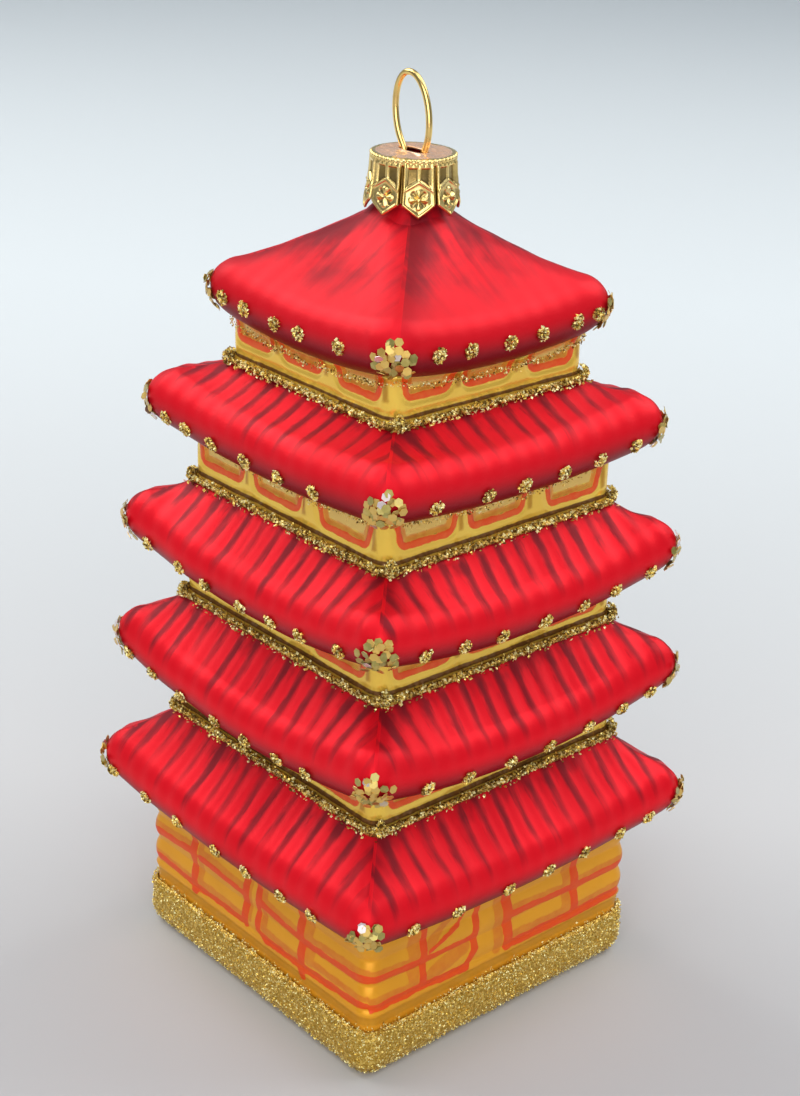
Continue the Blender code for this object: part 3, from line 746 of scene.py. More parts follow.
def wall_profile(storey, below):
    """An upper wall: a cove t squared over the roof below, the plain wall and a cove to the eave."""
    foot = np.linspace(0.0, 1.0, 12)
    rows = [np.column_stack([storey.wall + (below.top - storey.wall) * (1.0 - foot) ** 2,
                             below.top_height + COVE_HEIGHT * foot, np.full(12, WALL_CORNER), foot * 0.0])]
    low, high = below.top_height + COVE_HEIGHT, storey.wall_top() - EAVE_COVE_HEIGHT
    steps = max(6, round((high - low) / (0.35 * MM)))
    share = np.linspace(0.0, 1.0, steps + 1)[1:]
    rows.append(np.column_stack([np.full(steps, storey.wall), blend(low, high, share),
                                 np.full(steps, WALL_CORNER), storey.droop * WALL_DROOP_SHARE * share]))
    share = np.linspace(0.0, 1.0, 6)[1:]
    rows.append(np.column_stack([storey.wall + EAVE_COVE_REACH * share ** 2,
                                 storey.wall_top() - EAVE_COVE_HEIGHT * (1.0 - share),
                                 np.full(5, WALL_CORNER), storey.droop * blend(WALL_DROOP_SHARE, 1.0, share)]))
    return np.concatenate(rows)


def base_profile():
    """The flat underside, the rolled foot, the plinth with its small ledge and the rounded courses of
    the lowest wall, which bulge by the sine of their share."""
    plinth = BASE.wall - PLINTH_SET_BACK
    side, height = arc((plinth - FOOT_ROLL, FOOT_ROLL), FOOT_ROLL, -90.0, 0.0, 8)
    flat = np.array([0.2, 0.6, 0.9]) * (plinth - FOOT_ROLL)
    rise = (BASE.wall_top() - BASE.droop - PLINTH_TOP) / COURSES
    climb = np.linspace(FOOT_ROLL, PLINTH_TOP, 20)[1:]
    ledge = 0.30 * MM * np.exp(-((climb - PLINTH_TOP + 0.55 * MM) / (0.45 * MM)) ** 2)
    share = np.linspace(0.0, COURSES, COURSES * 16 + 1)[1:]
    course = BASE.wall - COURSE_DEPTH * (1.0 - np.abs(np.sin(math.pi * share)))
    side = np.concatenate([flat, side, plinth + ledge, course])
    height = np.concatenate([flat * 0.0, height, climb, PLINTH_TOP + rise * share])
    last = np.array([[BASE.wall, BASE.wall_top() + 0.2 * MM]])
    profile = np.column_stack([side, height])
    profile = np.concatenate([profile, last])
    radius = np.minimum(WALL_CORNER, profile[:, 0] * 0.5)
    return np.column_stack([profile, radius, profile[:, 0] * 0.0])


def side_coordinates(points):
    """Millimetres to the right of a side's middle, as seen from outside, and which side: 0 for -Y,
    1 for +X, 2 for +Y and 3 for -X."""
    x, y = points[..., 0], points[..., 1]
    on_x = np.abs(x) > np.abs(y)
    along = np.where(on_x, y * np.sign(x), -x * np.sign(y))
    side = np.where(on_x, np.where(x > 0.0, 1, 3), np.where(y > 0.0, 2, 0))
    return along / MM, side


def stroke_distance(along, height, strokes):
    """Millimetres to the edge of the nearest stroke: the distance to its straight middle line less its
    half width."""
    nearest = np.full(along.shape, 9.0)
    for x0, z0, x1, z1, half in strokes:
        run = np.array([x1 - x0, z1 - z0])
        share = ((along - x0) * run[0] + (height - z0) * run[1]) / (run @ run)
        share = np.clip(share, 0.0, 1.0)
        reach = np.hypot(along - x0 - run[0] * share, height - z0 - run[1] * share)
        nearest = np.minimum(nearest, reach - half * BRUSH_SPREAD)
    return nearest


def panel_distance(along, height, storey, below):
    """Millimetres to the outline of the nearest painted panel, below nought inside: a rounded box that
    is open at the top and widens upwards. Also the distance to the amber stroke right of each panel."""
    nearest, amber = np.full(along.shape, 9.0), np.full(along.shape, 9.0)
    half_side, lift = storey.wall / MM, TOP_PANEL_LIFT if storey is TOP else 0.0
    for middle, half, low in PANELS:
        climb = height - (below.top_height / MM + low + lift)
        out = np.abs(along - middle * half_side) - half * half_side - PANEL_LEAN * climb + PANEL_ROUND
        down = PANEL_ROUND - climb
        box = np.hypot(np.maximum(out, 0.0), np.maximum(down, 0.0)) + np.minimum(np.maximum(out, down), 0.0)
        nearest = np.minimum(nearest, box - PANEL_ROUND)
        post = along - (middle + half) * half_side - PANEL_LEAN * climb - 1.25 + 0.35 * climb
        amber = np.minimum(amber, np.maximum(np.abs(post) - 0.42, 0.4 - climb))
    return nearest, amber


def shell(points, thickness, step):
    """Closes a skin of rows with an inner skin: every step-th row moved inwards along its way out."""
    picked = np.unique(np.append(np.arange(0, len(points), step), len(points) - 1))[::-1]
    inner = points[picked] - outward(points)[picked] * thickness
    return np.concatenate([points, inner]), np.concatenate([np.arange(len(points)), picked])


def make_roof(glass, walk, number, material):
    """A roof's rolled rim and slope, with the moulded ribs: a cosine across the slope that fades out
    at the rim and at the top, on gently uneven glass."""
    storey = STOREYS[number - 1]
    slope_rows = 34 if storey is TOP else 22
    profile = np.concatenate([rim_profile(storey, 24), slope_profile(storey, slope_rows)])
    up = np.concatenate([np.linspace(-1.0, 0.0, 25), np.arange(1, slope_rows + 1) / slope_rows])
    if storey is TOP:
        neck = np.linspace(TOP.top_height + NECK_FILLET, CAP_TOP - CAP_SHEET - 0.2 * MM, 6)
        profile = np.concatenate([profile, np.column_stack(
            [np.full(6, NECK_RADIUS), neck, np.full(6, HIP_CORNER), neck * 0.0])])
        up = np.append(up, np.ones(6))
    points = loft(walk, profile)
    along, side = side_coordinates(points)
    level = np.broadcast_to(up[:, None], along.shape)
    window = smooth(-0.5, -0.1, level) * smooth(1.0, 0.85, level) * smooth(0.0, 0.06, walk.off_corner)[None]
    depth = glass.rib_depth * (0.35 if storey is TOP else 1.0)
    turn = 2.0 * math.pi * along * MM / glass.rib_pitch + side * 1.3 + 0.9 * waves(points, 0.022, number)
    ripple = depth * window * (0.5 + 0.5 * np.cos(turn))
    ripple -= glass.wobble * waves(points, 0.016, 20 + number) * smooth(-1.0, -0.5, level)
    ripple *= smooth(1.01, 0.9, level)
    points = points - outward(points) * ripple[..., None]
    points, rows = shell(points, glass.thickness, 6)
    # hip: distance from the left hip, where the material paints shade.
    hip = along + np.abs(along).max(axis=1, keepdims=True)
    measures = {"up": level[rows], "hip": hip[rows], "storey": np.full(level[rows].shape, float(number))}
    return lay_mesh(f"roof{number}_red_lacquer", points, [join_rows(len(points), walk.count, True)],
                    material, measures)


def make_wall(glass, walk, number, material):
    """An upper wall, with its panels sunk and the posts between them proud."""
    storey, below = STOREYS[number - 1], STOREYS[number - 2]
    points = loft(walk, wall_profile(storey, below))
    along, _ = side_coordinates(points)
    edge, amber = panel_distance(along, points[..., 2] / MM, storey, below)
    relief = -0.30 * smooth(-0.6, -1.7, edge) + 0.18 * smooth(0.1, 0.9, edge)
    relief *= smooth(below.top_height + 1.2 * MM, below.top_height + 2.4 * MM, points[..., 2])
    relief += 0.10 * waves(points, 0.012, 40 + number)
    points = points + outward(points) * (relief * MM)[..., None]
    points, rows = shell(points, glass.thickness, 6)
    measures = {"red": np.abs(edge + 0.50) - 0.50, "wash": np.abs(edge + 1.35) - 0.45,
                "amber": amber, "panel": edge + 1.75,
                # foot: the band just over the glitter band, where a dark reflection is painted.
                "foot": np.abs((points[..., 2] - below.top_height) / MM - 1.08) - 0.50 + 0.05 * number}
    measures = {key: values[rows] for key, values in measures.items()}
    return lay_mesh(f"wall{number}_gilding", points, [join_rows(len(points), walk.count, True)],
                    material, measures)


def make_base_wall(glass, walk, material):
    """The lowest wall in rounded courses, its strokes of paint standing a little proud, closed by a
    flat underside."""
    points = loft(walk, base_profile())
    along, side = side_coordinates(points)
    height = points[..., 2] / MM
    odd = side % 2 == 1
    # The washes here are partly translucent paint and partly painted shade beside and above the red lines.
    red, wash = (np.where(odd, stroke_distance(along, height, strokes[1]),
                          stroke_distance(along, height, strokes[0]))
                 for strokes in (RED_STROKES, WASH_AND_SHADE_STROKES))
    lift = 0.05 * smooth(0.2, -0.2, red) + 0.09 * waves(points, 0.013, 31) * smooth(8.0, 12.0, height)
    points = points + outward(points) * (lift * MM)[..., None]
    points, rows = shell(points, glass.thickness, 6)
    # Painted shade under the plinth ledge: an amber band from about 8.5 to 10 mm up.
    amber = (np.abs(height - 9.3) - 0.75)[rows]
    count, total = walk.count, len(points)
    poles = np.array([[0.0, 0.0, 0.0], [0.0, 0.0, glass.thickness]])
    here = np.arange(count)
    after = (here + 1) % count
    under = np.column_stack([np.full(count, total * count), after, here])
    last = (total - 1) * count
    inside = np.column_stack([last + here, last + after, np.full(count, total * count + 1)])
    faces = [join_rows(total, count), np.concatenate([under, inside])]
    points = np.concatenate([points.reshape(-1, 3), poles])
    measures = {"red": red[rows], "wash": wash[rows], "amber": amber, "panel": np.full(amber.shape, 9.0),
                "foot": np.full(amber.shape, 9.0)}
    measures = {key: np.append(values.ravel(), [9.0, 9.0]) for key, values in measures.items()}
    return lay_mesh("wall1_satin_gold", points, faces, material, measures)


GRAIN_CORNERS = np.array([(1, 0, 0), (-1, 0, 0), (0, 1, 0), (0, -1, 0), (0, 0, 1), (0, 0, -1)]) \
    * (0.5, 0.38, 0.17)
GRAIN_FACES = np.array([(0, 2, 4), (2, 1, 4), (1, 3, 4), (3, 0, 4), (2, 0, 5), (1, 2, 5), (3, 1, 5), (0, 3, 5)])


def random_turns(count, rng):
    """Turn matrices spread evenly over all directions, from unit quaternions."""
    w, x, y, z = (lambda q: q / np.linalg.norm(q, axis=0))(rng.normal(size=(4, count)))
    return np.array([[1 - 2 * (y * y + z * z), 2 * (x * y - z * w), 2 * (x * z + y * w)],
                     [2 * (x * y + z * w), 1 - 2 * (x * x + z * z), 2 * (y * z - x * w)],
                     [2 * (x * z - y * w), 2 * (y * z + x * w), 1 - 2 * (x * x + y * y)]]).transpose(2, 0, 1)


def make_grains(name, places, size, rng, material, darkest=0.0):
    """Glitter splinters: a flat eight-faced crystal for each place, turned at random and from 0.6 to
    1.4 times the size, tinted from the darkest share to 1."""
    count = len(places)
    sizes = size * rng.uniform(0.6, 1.4, count)
    points = np.einsum("nij,kj->nki", random_turns(count, rng), GRAIN_CORNERS) * sizes[:, None, None]
    points += places[:, None]
    faces = (np.arange(count)[:, None, None] * len(GRAIN_CORNERS) + GRAIN_FACES).reshape(-1, 3)
    tint = np.repeat(rng.uniform(darkest, 1.0, count), len(GRAIN_CORNERS))
    return lay_mesh(name, points, [faces], material, {"tint": tint}, flat=True)


def walk_at(place, corner_length=0.10):
    """Corner centre shares, ways out and distance off a corner's middle at places from 0 to 4 round a
    square: the first part of each unit is an arc corner and the rest a side."""
    corner = np.floor(place).astype(int) % 4
    share = place - np.floor(place)
    bend = np.clip(share / corner_length, 0.0, 1.0)
    run = np.clip((share - corner_length) / (1.0 - corner_length), 0.0, 1.0)
    signs = np.array([(1, 1), (-1, 1), (-1, -1), (1, -1)], float)
    here, after = signs[corner], signs[(corner + 1) % 4]
    turn = np.radians(90.0 * (corner + bend))
    off = np.where(share < corner_length, np.abs(2.0 * bend - 1.0), 1.0)
    return here + (after - here) * run[:, None], np.column_stack([np.cos(turn), np.sin(turn)]), off


def ring_places(place, half_side, radius, out, height, droop=0.0):
    """Points round a square band: the corner centre plus the way out times the radius and the
    distance out, at a height less the eave's fall."""
    middle, way, _ = walk_at(place)
    plan = middle * (half_side - radius) + way * (radius + out)[:, None]
    drop = fall(droop, np.abs(plan).min(axis=1), half_side, radius)
    return np.column_stack([plan, height - drop])


def base_band_places(count, rng):
    """Grains over the deep base band: round the rolled foot and up the plinth to a ragged top."""
    plinth = BASE.wall - PLINTH_SET_BACK
    place = rng.uniform(0.0, 4.0, count)
    ragged = 0.45 * MM * np.sin(place * 37.0) * np.sin(place * 91.0 + 1.0) + rng.normal(0.0, 0.22 * MM, count)
    share = rng.uniform(0.0, 1.0, count)
    share = np.where(rng.uniform(size=count) < 0.12, rng.uniform(0.84, 1.0, count), share)
    turned = np.radians(-62.0 * (1.0 - share / 0.3))
    proud = GAP + BASE_BAND_PROUD * blend(0.35, 1.0, share / 0.3) + rng.uniform(-0.12, 0.10, count) * MM
    proud = proud - (GAP + 0.5 * BASE_BAND_PROUD) * smooth(0.86, 1.04, share)
    low = share < 0.3
    out = np.where(low, (FOOT_ROLL + proud) * np.cos(turned) - FOOT_ROLL, proud)
    climb = FOOT_ROLL + (BASE_BAND_TOP + 0.7 * MM - FOOT_ROLL) * (share - 0.3) / 0.7
    height = np.where(low, FOOT_ROLL + (FOOT_ROLL + proud) * np.sin(turned), climb + ragged * (share > 0.8))
    return ring_places(place, plinth, WALL_CORNER, out, np.maximum(height, 0.25 * MM))


def storey_band_places(below, count, beads, rng):
    """Grains over the fillet in the crease between a wall and the roof below, with ragged edges that
    stray on to both, and a heap of them on each corner."""
    slope = math.radians(below.slope_angle() - 90.0)
    seat_height = below.top_height + GAP * 0.5
    place = rng.uniform(0.0, 4.0, count)
    share = np.clip(rng.normal(0.42, 0.36, count), -0.25, 1.12)
    _, _, off = walk_at(place)
    swell = 1.0 + BAND_BEAD * np.maximum(0.0, 1.0 - BEAD_FALL_OFF * off ** 2)
    inner = np.clip(share, 0.0, 1.0)
    crown = CORE_CROWN * np.sin(math.pi * inner) + rng.uniform(-0.10, 0.16, len(share)) * MM
    out = blend(BAND_ON_ROOF * math.cos(slope), 0.1 * MM, inner) + crown
    up = blend(BAND_ON_ROOF * math.sin(slope) + 0.1 * MM, CORE_ON_WALL, inner) + crown
    stray = np.maximum(0.0, -share) * 2.2 * MM
    out, up = out + stray * math.cos(slope), up + stray * math.sin(slope)
    up = up + np.maximum(0.0, share - 1.0) * 1.6 * MM
    band = ring_places(place, below.top + GAP * 0.5, WALL_CORNER, out * swell, seat_height + up * swell)
    way = rng.normal(size=(4 * beads, 3))
    way /= np.linalg.norm(way, axis=1)[:, None]
    way[:, :2] = np.abs(way[:, :2] + 0.12)
    heap = way * BEAD_SIZE * rng.uniform(0.86, 1.04, (4 * beads, 1))
    reach = below.top + GAP - 0.55 * MM
    signs = np.repeat(np.array([(1, 1), (-1, 1), (-1, -1), (1, -1)]), beads, axis=0)
    heap[:, :2] = (heap[:, :2] + reach) * signs
    alike = signs[:, 0] == signs[:, 1]
    heap[:, :2] -= BEAD_SHIFT * signs * np.column_stack([alike, ~alike])
    heap[:, 2] += seat_height + 0.45 * MM
    return np.concatenate([band, heap])


def make_band_core(number, below, material):
    """The glitter-filled glue under the grains of an upper band: a low crowned fillet in the crease,
    whose section is carried round the square of the roof's top."""
    walk = Walk(8, 24)
    slope = math.radians(below.slope_angle() - 90.0)
    share = np.linspace(0.0, 1.0, 9)
    crown = CORE_CROWN * np.sin(math.pi * share)
    out = np.append(blend(BAND_ON_ROOF * math.cos(slope), 0.1 * MM, share) + crown, -0.3 * MM)
    up = np.append(blend(BAND_ON_ROOF * math.sin(slope), CORE_ON_WALL, share) + crown, -0.3 * MM)
    swell = 1.0 + BAND_BEAD * np.maximum(0.0, 1.0 - BEAD_FALL_OFF * walk.off_corner ** 2)
    reach = below.top + GAP * 0.5 - WALL_CORNER
    plan = walk.middle * reach + walk.way * (WALL_CORNER + out[:, None] * swell)[..., None]
    height = below.top_height + GAP * 0.5 + up[:, None] * swell
    points = np.dstack([plan, height])
    return lay_mesh(f"storey{number}_glitter_glue", points, [join_rows(len(points), walk.count, True)],
                    material)


def eave_line_places(storey, count, rng):
    """A thin broken line of grains at the top of a wall, close under the eave."""
    place = rng.uniform(0.0, 4.0, count)
    height = storey.wall_top() - EAVE_COVE_HEIGHT * 0.72 + rng.normal(0.0, 0.24 * MM, count)
    height += 0.16 * MM * np.sin(place * 29.0)
    out = rng.uniform(0.25, 0.85, count) * MM
    side = storey.wall + EAVE_COVE_REACH * 0.25
    return ring_places(place, side, WALL_CORNER, out, height, storey.droop)


def outline_at(storey, start_angle, distance):
    """Half side, height, plan radius and droop at distances up a roof's outline from an angle round
    its rolled rim, and the way the outline runs there, by straight measure between close rows."""
    rows = np.concatenate([rim_profile(storey, 60), slope_profile(storey, 40)])
    steps = np.hypot(np.diff(rows[:, 0]), np.diff(rows[:, 1]))
    length = np.append(0.0, np.cumsum(steps))
    start = storey.rim * math.radians(start_angle - storey.underside_angle())
    near, far = (np.stack([np.interp(start + distance + step, length, column) for column in rows.T])
                 for step in (-0.02 * MM, 0.02 * MM))
    way = (far - near)[:2] / np.linalg.norm((far - near)[:2], axis=0)
    return (near + far) / 2.0, way


def on_side(storey, side, along, angle):
    """Points and ways out on a roof's rolled rim: millimetres along a side and degrees round the rim."""
    row, way = outline_at(storey, angle, np.zeros(len(along)))
    half_side, height, radius, droop = row
    height = height - fall(droop, np.abs(along), half_side, radius)
    normal = np.column_stack([along * 0.0, -way[1], -way[0]])
    points = np.column_stack([along, -half_side, height])
    turn = np.array(Matrix.Rotation(math.radians(90.0 * side), 3, "Z"))
    return points @ turn.T, normal @ turn.T


def on_corner(storey, corner, across, up):
    """Points and ways out over a roof's corner: metres across it and up its outline from the middle of
    the sequin cluster, worked out on the +X corner and turned to its own."""
    (side, height, radius, droop), way = outline_at(storey, PAD_ANGLE, up)
    half_arc = radius * math.pi / 4.0
    turn = np.clip(across / half_arc, -1.0, 1.0) * math.pi / 4.0
    beyond = np.sign(across) * np.maximum(0.0, np.abs(across) - half_arc)
    cosine, sine = np.cos(turn), np.sin(turn)
    normal = np.column_stack([cosine * way[1], sine * way[1], -way[0]])
    normal /= np.linalg.norm(normal, axis=1)[:, None]
    x = (side - radius) * math.sqrt(2.0) + cosine * radius - sine * beyond
    y = sine * radius + cosine * beyond
    drop = fall(droop, (x - np.abs(y)) / math.sqrt(2.0), side, radius)
    spin = np.array(Matrix.Rotation(math.radians(45.0 + 90.0 * corner), 3, "Z"))
    return np.column_stack([x, y, height - drop]) @ spin.T, normal @ spin.T


def square_frames(normals, rng, tilt):
    """Turn matrices whose third column is near each normal, tilted a little and spun at random."""
    third = normals + rng.normal(0.0, tilt, normals.shape)
    third /= np.linalg.norm(third, axis=1)[:, None]
    first = np.cross(third, rng.normal(size=third.shape))
    first /= np.linalg.norm(first, axis=1)[:, None]
    return np.stack([first, np.cross(third, first), third], axis=2)


def make_sequins(sequins, name, storey, corner, rng, material):
    """A cluster of six-sided plates on a corner of a roof, on a sunflower spiral that is shaken up, each
    a little over the last."""
    count = sequins.count
    order = np.arange(count)
    reach = sequins.spread * np.sqrt((order + 0.5) / count) * rng.uniform(0.86, 1.08, count)
    angle = order * 2.39996 + rng.normal(0.0, 0.25, count)
    across, up = reach * np.cos(angle), reach * np.sin(angle) * 1.05
    places, normals = on_corner(storey, corner, across, up)
    lift = sequins.thickness * (1.5 + 6.5 * rng.permutation(count) / count) + 0.22 * MM
    frames = square_frames(normals, rng, 0.22)
    turn = np.radians(60.0 * np.arange(6))
    rim = np.column_stack([np.cos(turn), np.sin(turn), turn * 0.0]) * sequins.width / math.sqrt(3.0)
    half = np.array([0.0, 0.0, sequins.thickness / 2.0])
    plate = np.concatenate([rim - half, rim + half])
    places = places + normals * lift[:, None]
    points = np.einsum("nij,kj->nki", frames, plate) + places[:, None]
    here = np.arange(6)
    after = (here + 1) % 6
    start = 12 * order[:, None, None]
    sides = start + np.column_stack([here, after, after + 6, here + 6])
    ends = start + np.array([here[::-1], here + 6])
    tint = np.repeat(rng.uniform(0.0, 1.0, count), 12)
    return lay_mesh(name, points, [sides.reshape(-1, 4), ends.reshape(-1, 6)], material, {"tint": tint},
                    flat=True)


def petal_relief(across, down, half_width):
    """The stamping of a petal in shares of its height: two sunk upright panels whose feet slant into a
    raised chevron, over an eight-rayed flower, inside a raised border. Distances are in millimetres
    across from the petal's middle and down from the top edge."""
    wide = np.abs(across)
    low_edge = (PETAL_NOTCH - PETAL_TIP) / MM * (1.0 - wide / half_width) + (CAP_TOP - CAP_EDGE_RADIUS - PETAL_NOTCH) / MM
    inset = np.minimum(half_width - wide - 0.18, 0.78 * (low_edge - down))
    border = 0.9 * np.exp(-((inset - 0.26) / 0.15) ** 2)
    chevron = (down - 2.45 - 0.62 * wide) * 0.85
    ridge = 0.9 * np.exp(-(chevron / 0.14) ** 2) * smooth(0.10, 0.35, inset)
    panel = np.maximum.reduce([0.26 - wide, wide - half_width + 0.78, 0.70 - down, chevron + 0.32])
    sunk = -1.0 * smooth(0.09, -0.09, panel)
    reach, turn = np.hypot(across, down - 4.75), np.arctan2(across, down - 4.75)
    ray = np.cos(4.0 * turn) * smooth(1.42, 1.2, reach)
    flower = (1.1 * smooth(0.1, 0.8, ray) - 0.9 * smooth(0.2, 0.9, -ray)) * smooth(0.10, 0.34, reach)
    flower = flower * smooth(0.12, 0.32, chevron) * smooth(0.36, 0.5, inset)
    return border + ridge + sunk + flower


def make_cap(metal, material):
    """The stamped crown: a lipped slot, a crinkled disc, a crimped edge and a flared skirt of eight
    petals, closed by its inner face."""
    count = PETALS * 48
    angle = 2.0 * math.pi * np.arange(count) / count
    slot = ((np.abs(np.cos(angle)) / SLOT_HALF_LENGTH) ** 3 +
            (np.abs(np.sin(angle)) / SLOT_HALF_WIDTH) ** 3) ** (-1.0 / 3.0)
    edge = CAP_EDGE_RADIUS
    reaches, heights, depths, tops = [], [], [], []
    for out, lift in ((0.0, -0.10), (0.02, 0.08), (0.14, 0.16), (0.30, 0.10), (0.45, 0.0)):
        reaches.append(slot + out * MM)
        heights.append(np.full(count, CAP_TOP + lift * MM))
    disc = CAP_TOP_RADIUS - edge
    for share in np.linspace(0.0, 1.0, 16)[1:-1]:
        reach = blend(slot + 0.45 * MM, disc, share)
        spot = np.column_stack([reach * np.cos(angle), reach * np.sin(angle), angle * 0.0])
        crinkle = 0.26 * MM * waves(spot, 0.0021, 5) * np.sin(math.pi * share) ** 0.5
        reaches.append(reach)
        heights.append(CAP_TOP - 0.12 * MM * math.sin(math.pi * share) + crinkle)
    top_rows = len(reaches)
    crimp = np.cos(48.0 * angle)
    for degrees in np.linspace(90.0, 0.0, 10):
        turned = math.radians(degrees)
        wave = 0.11 * MM * crimp * math.sin(math.radians(180.0 - 2.0 * degrees)) ** 2
        reaches.append(disc + edge * math.cos(turned) + wave + 0.10 * MM * math.sin(2.0 * turned))
        heights.append(np.full(count, CAP_TOP - edge + edge * math.sin(turned)))
    turn = ((angle + PETAL_TURN) * PETALS / (2.0 * math.pi)) % 1.0
    off_tip = np.abs(2.0 * turn - 1.0)
    low = blend(PETAL_TIP, PETAL_NOTCH, off_tip)
    skirt_top = CAP_TOP - edge
    depths = [angle * 0.0 for _ in reaches]
    for share in np.linspace(0.0, 1.0, 64)[1:]:
        height = blend(skirt_top, low, share)
        reach = blend(CAP_TOP_RADIUS, CAP_SKIRT_RADIUS, share ** 2)
        half_width = math.pi * reach / PETALS / MM
        down = (skirt_top - height) / MM
        relief = petal_relief((2.0 * turn - 1.0) * half_width, down, half_width)
        relief = relief * smooth(0.15, 0.6, down) * smooth(0.0, 0.15, (height - low) / MM)
        fold = PETAL_FOLD * (0.7 + 0.8 * share) * smooth(0.87, 0.97, off_tip) * smooth(0.03, 0.12, share)
        waist = 0.10 * MM * crimp * math.exp(-((share - 0.02) / 0.04) ** 2)
        reaches.append(reach - fold + relief * metal.relief + waist)
        heights.append(height)
        # depth: how deep a fold or sunk stamp lies, which the material darkens as painted shade.
        depths.append(-fold / MM + 0.9 * np.minimum(relief, 0.0) * metal.relief / MM)
    tops = np.repeat(np.append(np.ones(top_rows), np.zeros(len(reaches) - top_rows))[:, None], count, axis=1)
    reach, height, depth = np.array(reaches), np.array(heights), np.array(depths)
    points = np.dstack([reach * np.cos(angle), reach * np.sin(angle), height])[::-1]
    points, rows = shell(points, CAP_SHEET * 0.8, 6)
    measures = {"depth": depth[::-1][rows], "top": tops[::-1][rows]}
    return lay_mesh("stamped_cap", points, [join_rows(len(points), count, True)], material, measures)


def make_wire(material):
    """One wire: an oval loop that leans towards -X over the cap, and two legs sprung apart in the neck.
    Its middle line is smoothed by a moving average and carried by a circle of its radius."""
    middle = LOOP_TOP - WIRE_RADIUS - LOOP_HALF_HEIGHT
    slot_side = SLOT_HALF_LENGTH - WIRE_RADIUS - GAP
    end = math.pi - math.asin(slot_side / LOOP_HALF_WIDTH)
    angle = np.linspace(0.0, end, 80)
    side = LOOP_HALF_WIDTH * np.sin(angle)
    height = middle + LOOP_HALF_HEIGHT * np.cos(angle)
    spread = NECK_RADIUS - 1.0 * MM - WIRE_RADIUS - GAP
    side = np.append(side, [slot_side, spread, spread])
    height = np.append(height, [CAP_TOP - CAP_SHEET - 0.5 * MM, CAP_TOP - 4.0 * MM, LEG_TIP])
    side = np.concatenate([-side[::-1], side[1:]])
    height = np.concatenate([height[::-1], height[1:]])
    length = np.append(0.0, np.cumsum(np.hypot(np.diff(side), np.diff(height))))
    even = np.linspace(0.0, length[-1], 260)
    side, height = np.interp(even, length, side), np.interp(even, length, height)
    kernel = np.ones(9) / 9.0
    for _ in range(2):
        side[4:-4] = np.convolve(side, kernel, "valid")
        height[4:-4] = np.convolve(height, kernel, "valid")
    side = side - LOOP_LEAN * np.maximum(0.0, (height - CAP_TOP) / (LOOP_TOP - CAP_TOP))
    run = np.column_stack([np.gradient(side), np.gradient(height)])
    run /= np.linalg.norm(run, axis=1)[:, None]
    around = 2.0 * math.pi * np.arange(20) / 20.0
    taper = WIRE_RADIUS * np.sqrt(np.clip(1.0 - np.clip(1.0 - np.arange(260)[:, None] / 3.0, 0.0, 1.0) ** 2, 0.05, 1.0))
    taper = np.minimum(taper, taper[::-1])
    outwards = np.column_stack([-run[:, 1], run[:, 0]])
    x = side[:, None] + outwards[:, :1] * np.cos(around) * taper
    z = height[:, None] + outwards[:, 1:] * np.cos(around) * taper
    y = -np.sin(around)[None] * taper
    points = np.stack([x, y, z], axis=2)
    last = 259 * 20
    here = np.arange(20)
    after = (here + 1) % 20
    tips = np.concatenate([np.column_stack([np.full(20, 5200), after, here]),
                           np.column_stack([last + here, last + after, np.full(20, 5201)])])
    ends = np.array([[side[0], 0.0, height[0]], [side[-1], 0.0, height[-1]]])
    points = np.concatenate([points.reshape(-1, 3), ends])
    return lay_mesh("wire_loop", points, [join_rows(260, 20), tips], material)


def dress(piece, slot, *nodes):
    """The piece rides on the body and may stand for CAD nodes, which are hidden. The slot is not used."""
    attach(piece, BODY)
    if nodes:
        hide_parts(*nodes)


def repaint(node, material):
    """Gives a CAD node that stays in view a finished material."""
    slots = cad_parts[node].material_slots
    for slot in slots:
        slot.material = material


class PAGODA_OT_glass(bpy.types.Operator):
    """Makes the five gilt walls and the five red roofs"""
    bl_idname = "pagoda.glass"
    bl_label = "Glass roofs and walls"

    def execute(self, context):
        glass = context.scene.ornament.glass
        walk = Walk(glass.corner_steps, glass.side_steps)
        ribbed = roof_lacquer(glass, "ribbed red lacquer", True)
        brushed = roof_lacquer(glass, "brushed red lacquer", False)
        satin = painted_gold(glass, "satin painted gold", True)
        mirror = painted_gold(glass, "mirror painted gold", False)
        dress(make_base_wall(glass, walk, satin), "red_satin_glass", "glass_body")
        for number in range(1, len(STOREYS) + 1):
            lacquer = brushed if number == len(STOREYS) else ribbed
            dress(make_roof(glass, walk, number, lacquer), "red_satin_glass", "glass_body")
            if number > 1:
                dress(make_wall(glass, walk, number, mirror), "red_satin_glass", "glass_body")
        return {"FINISHED"}


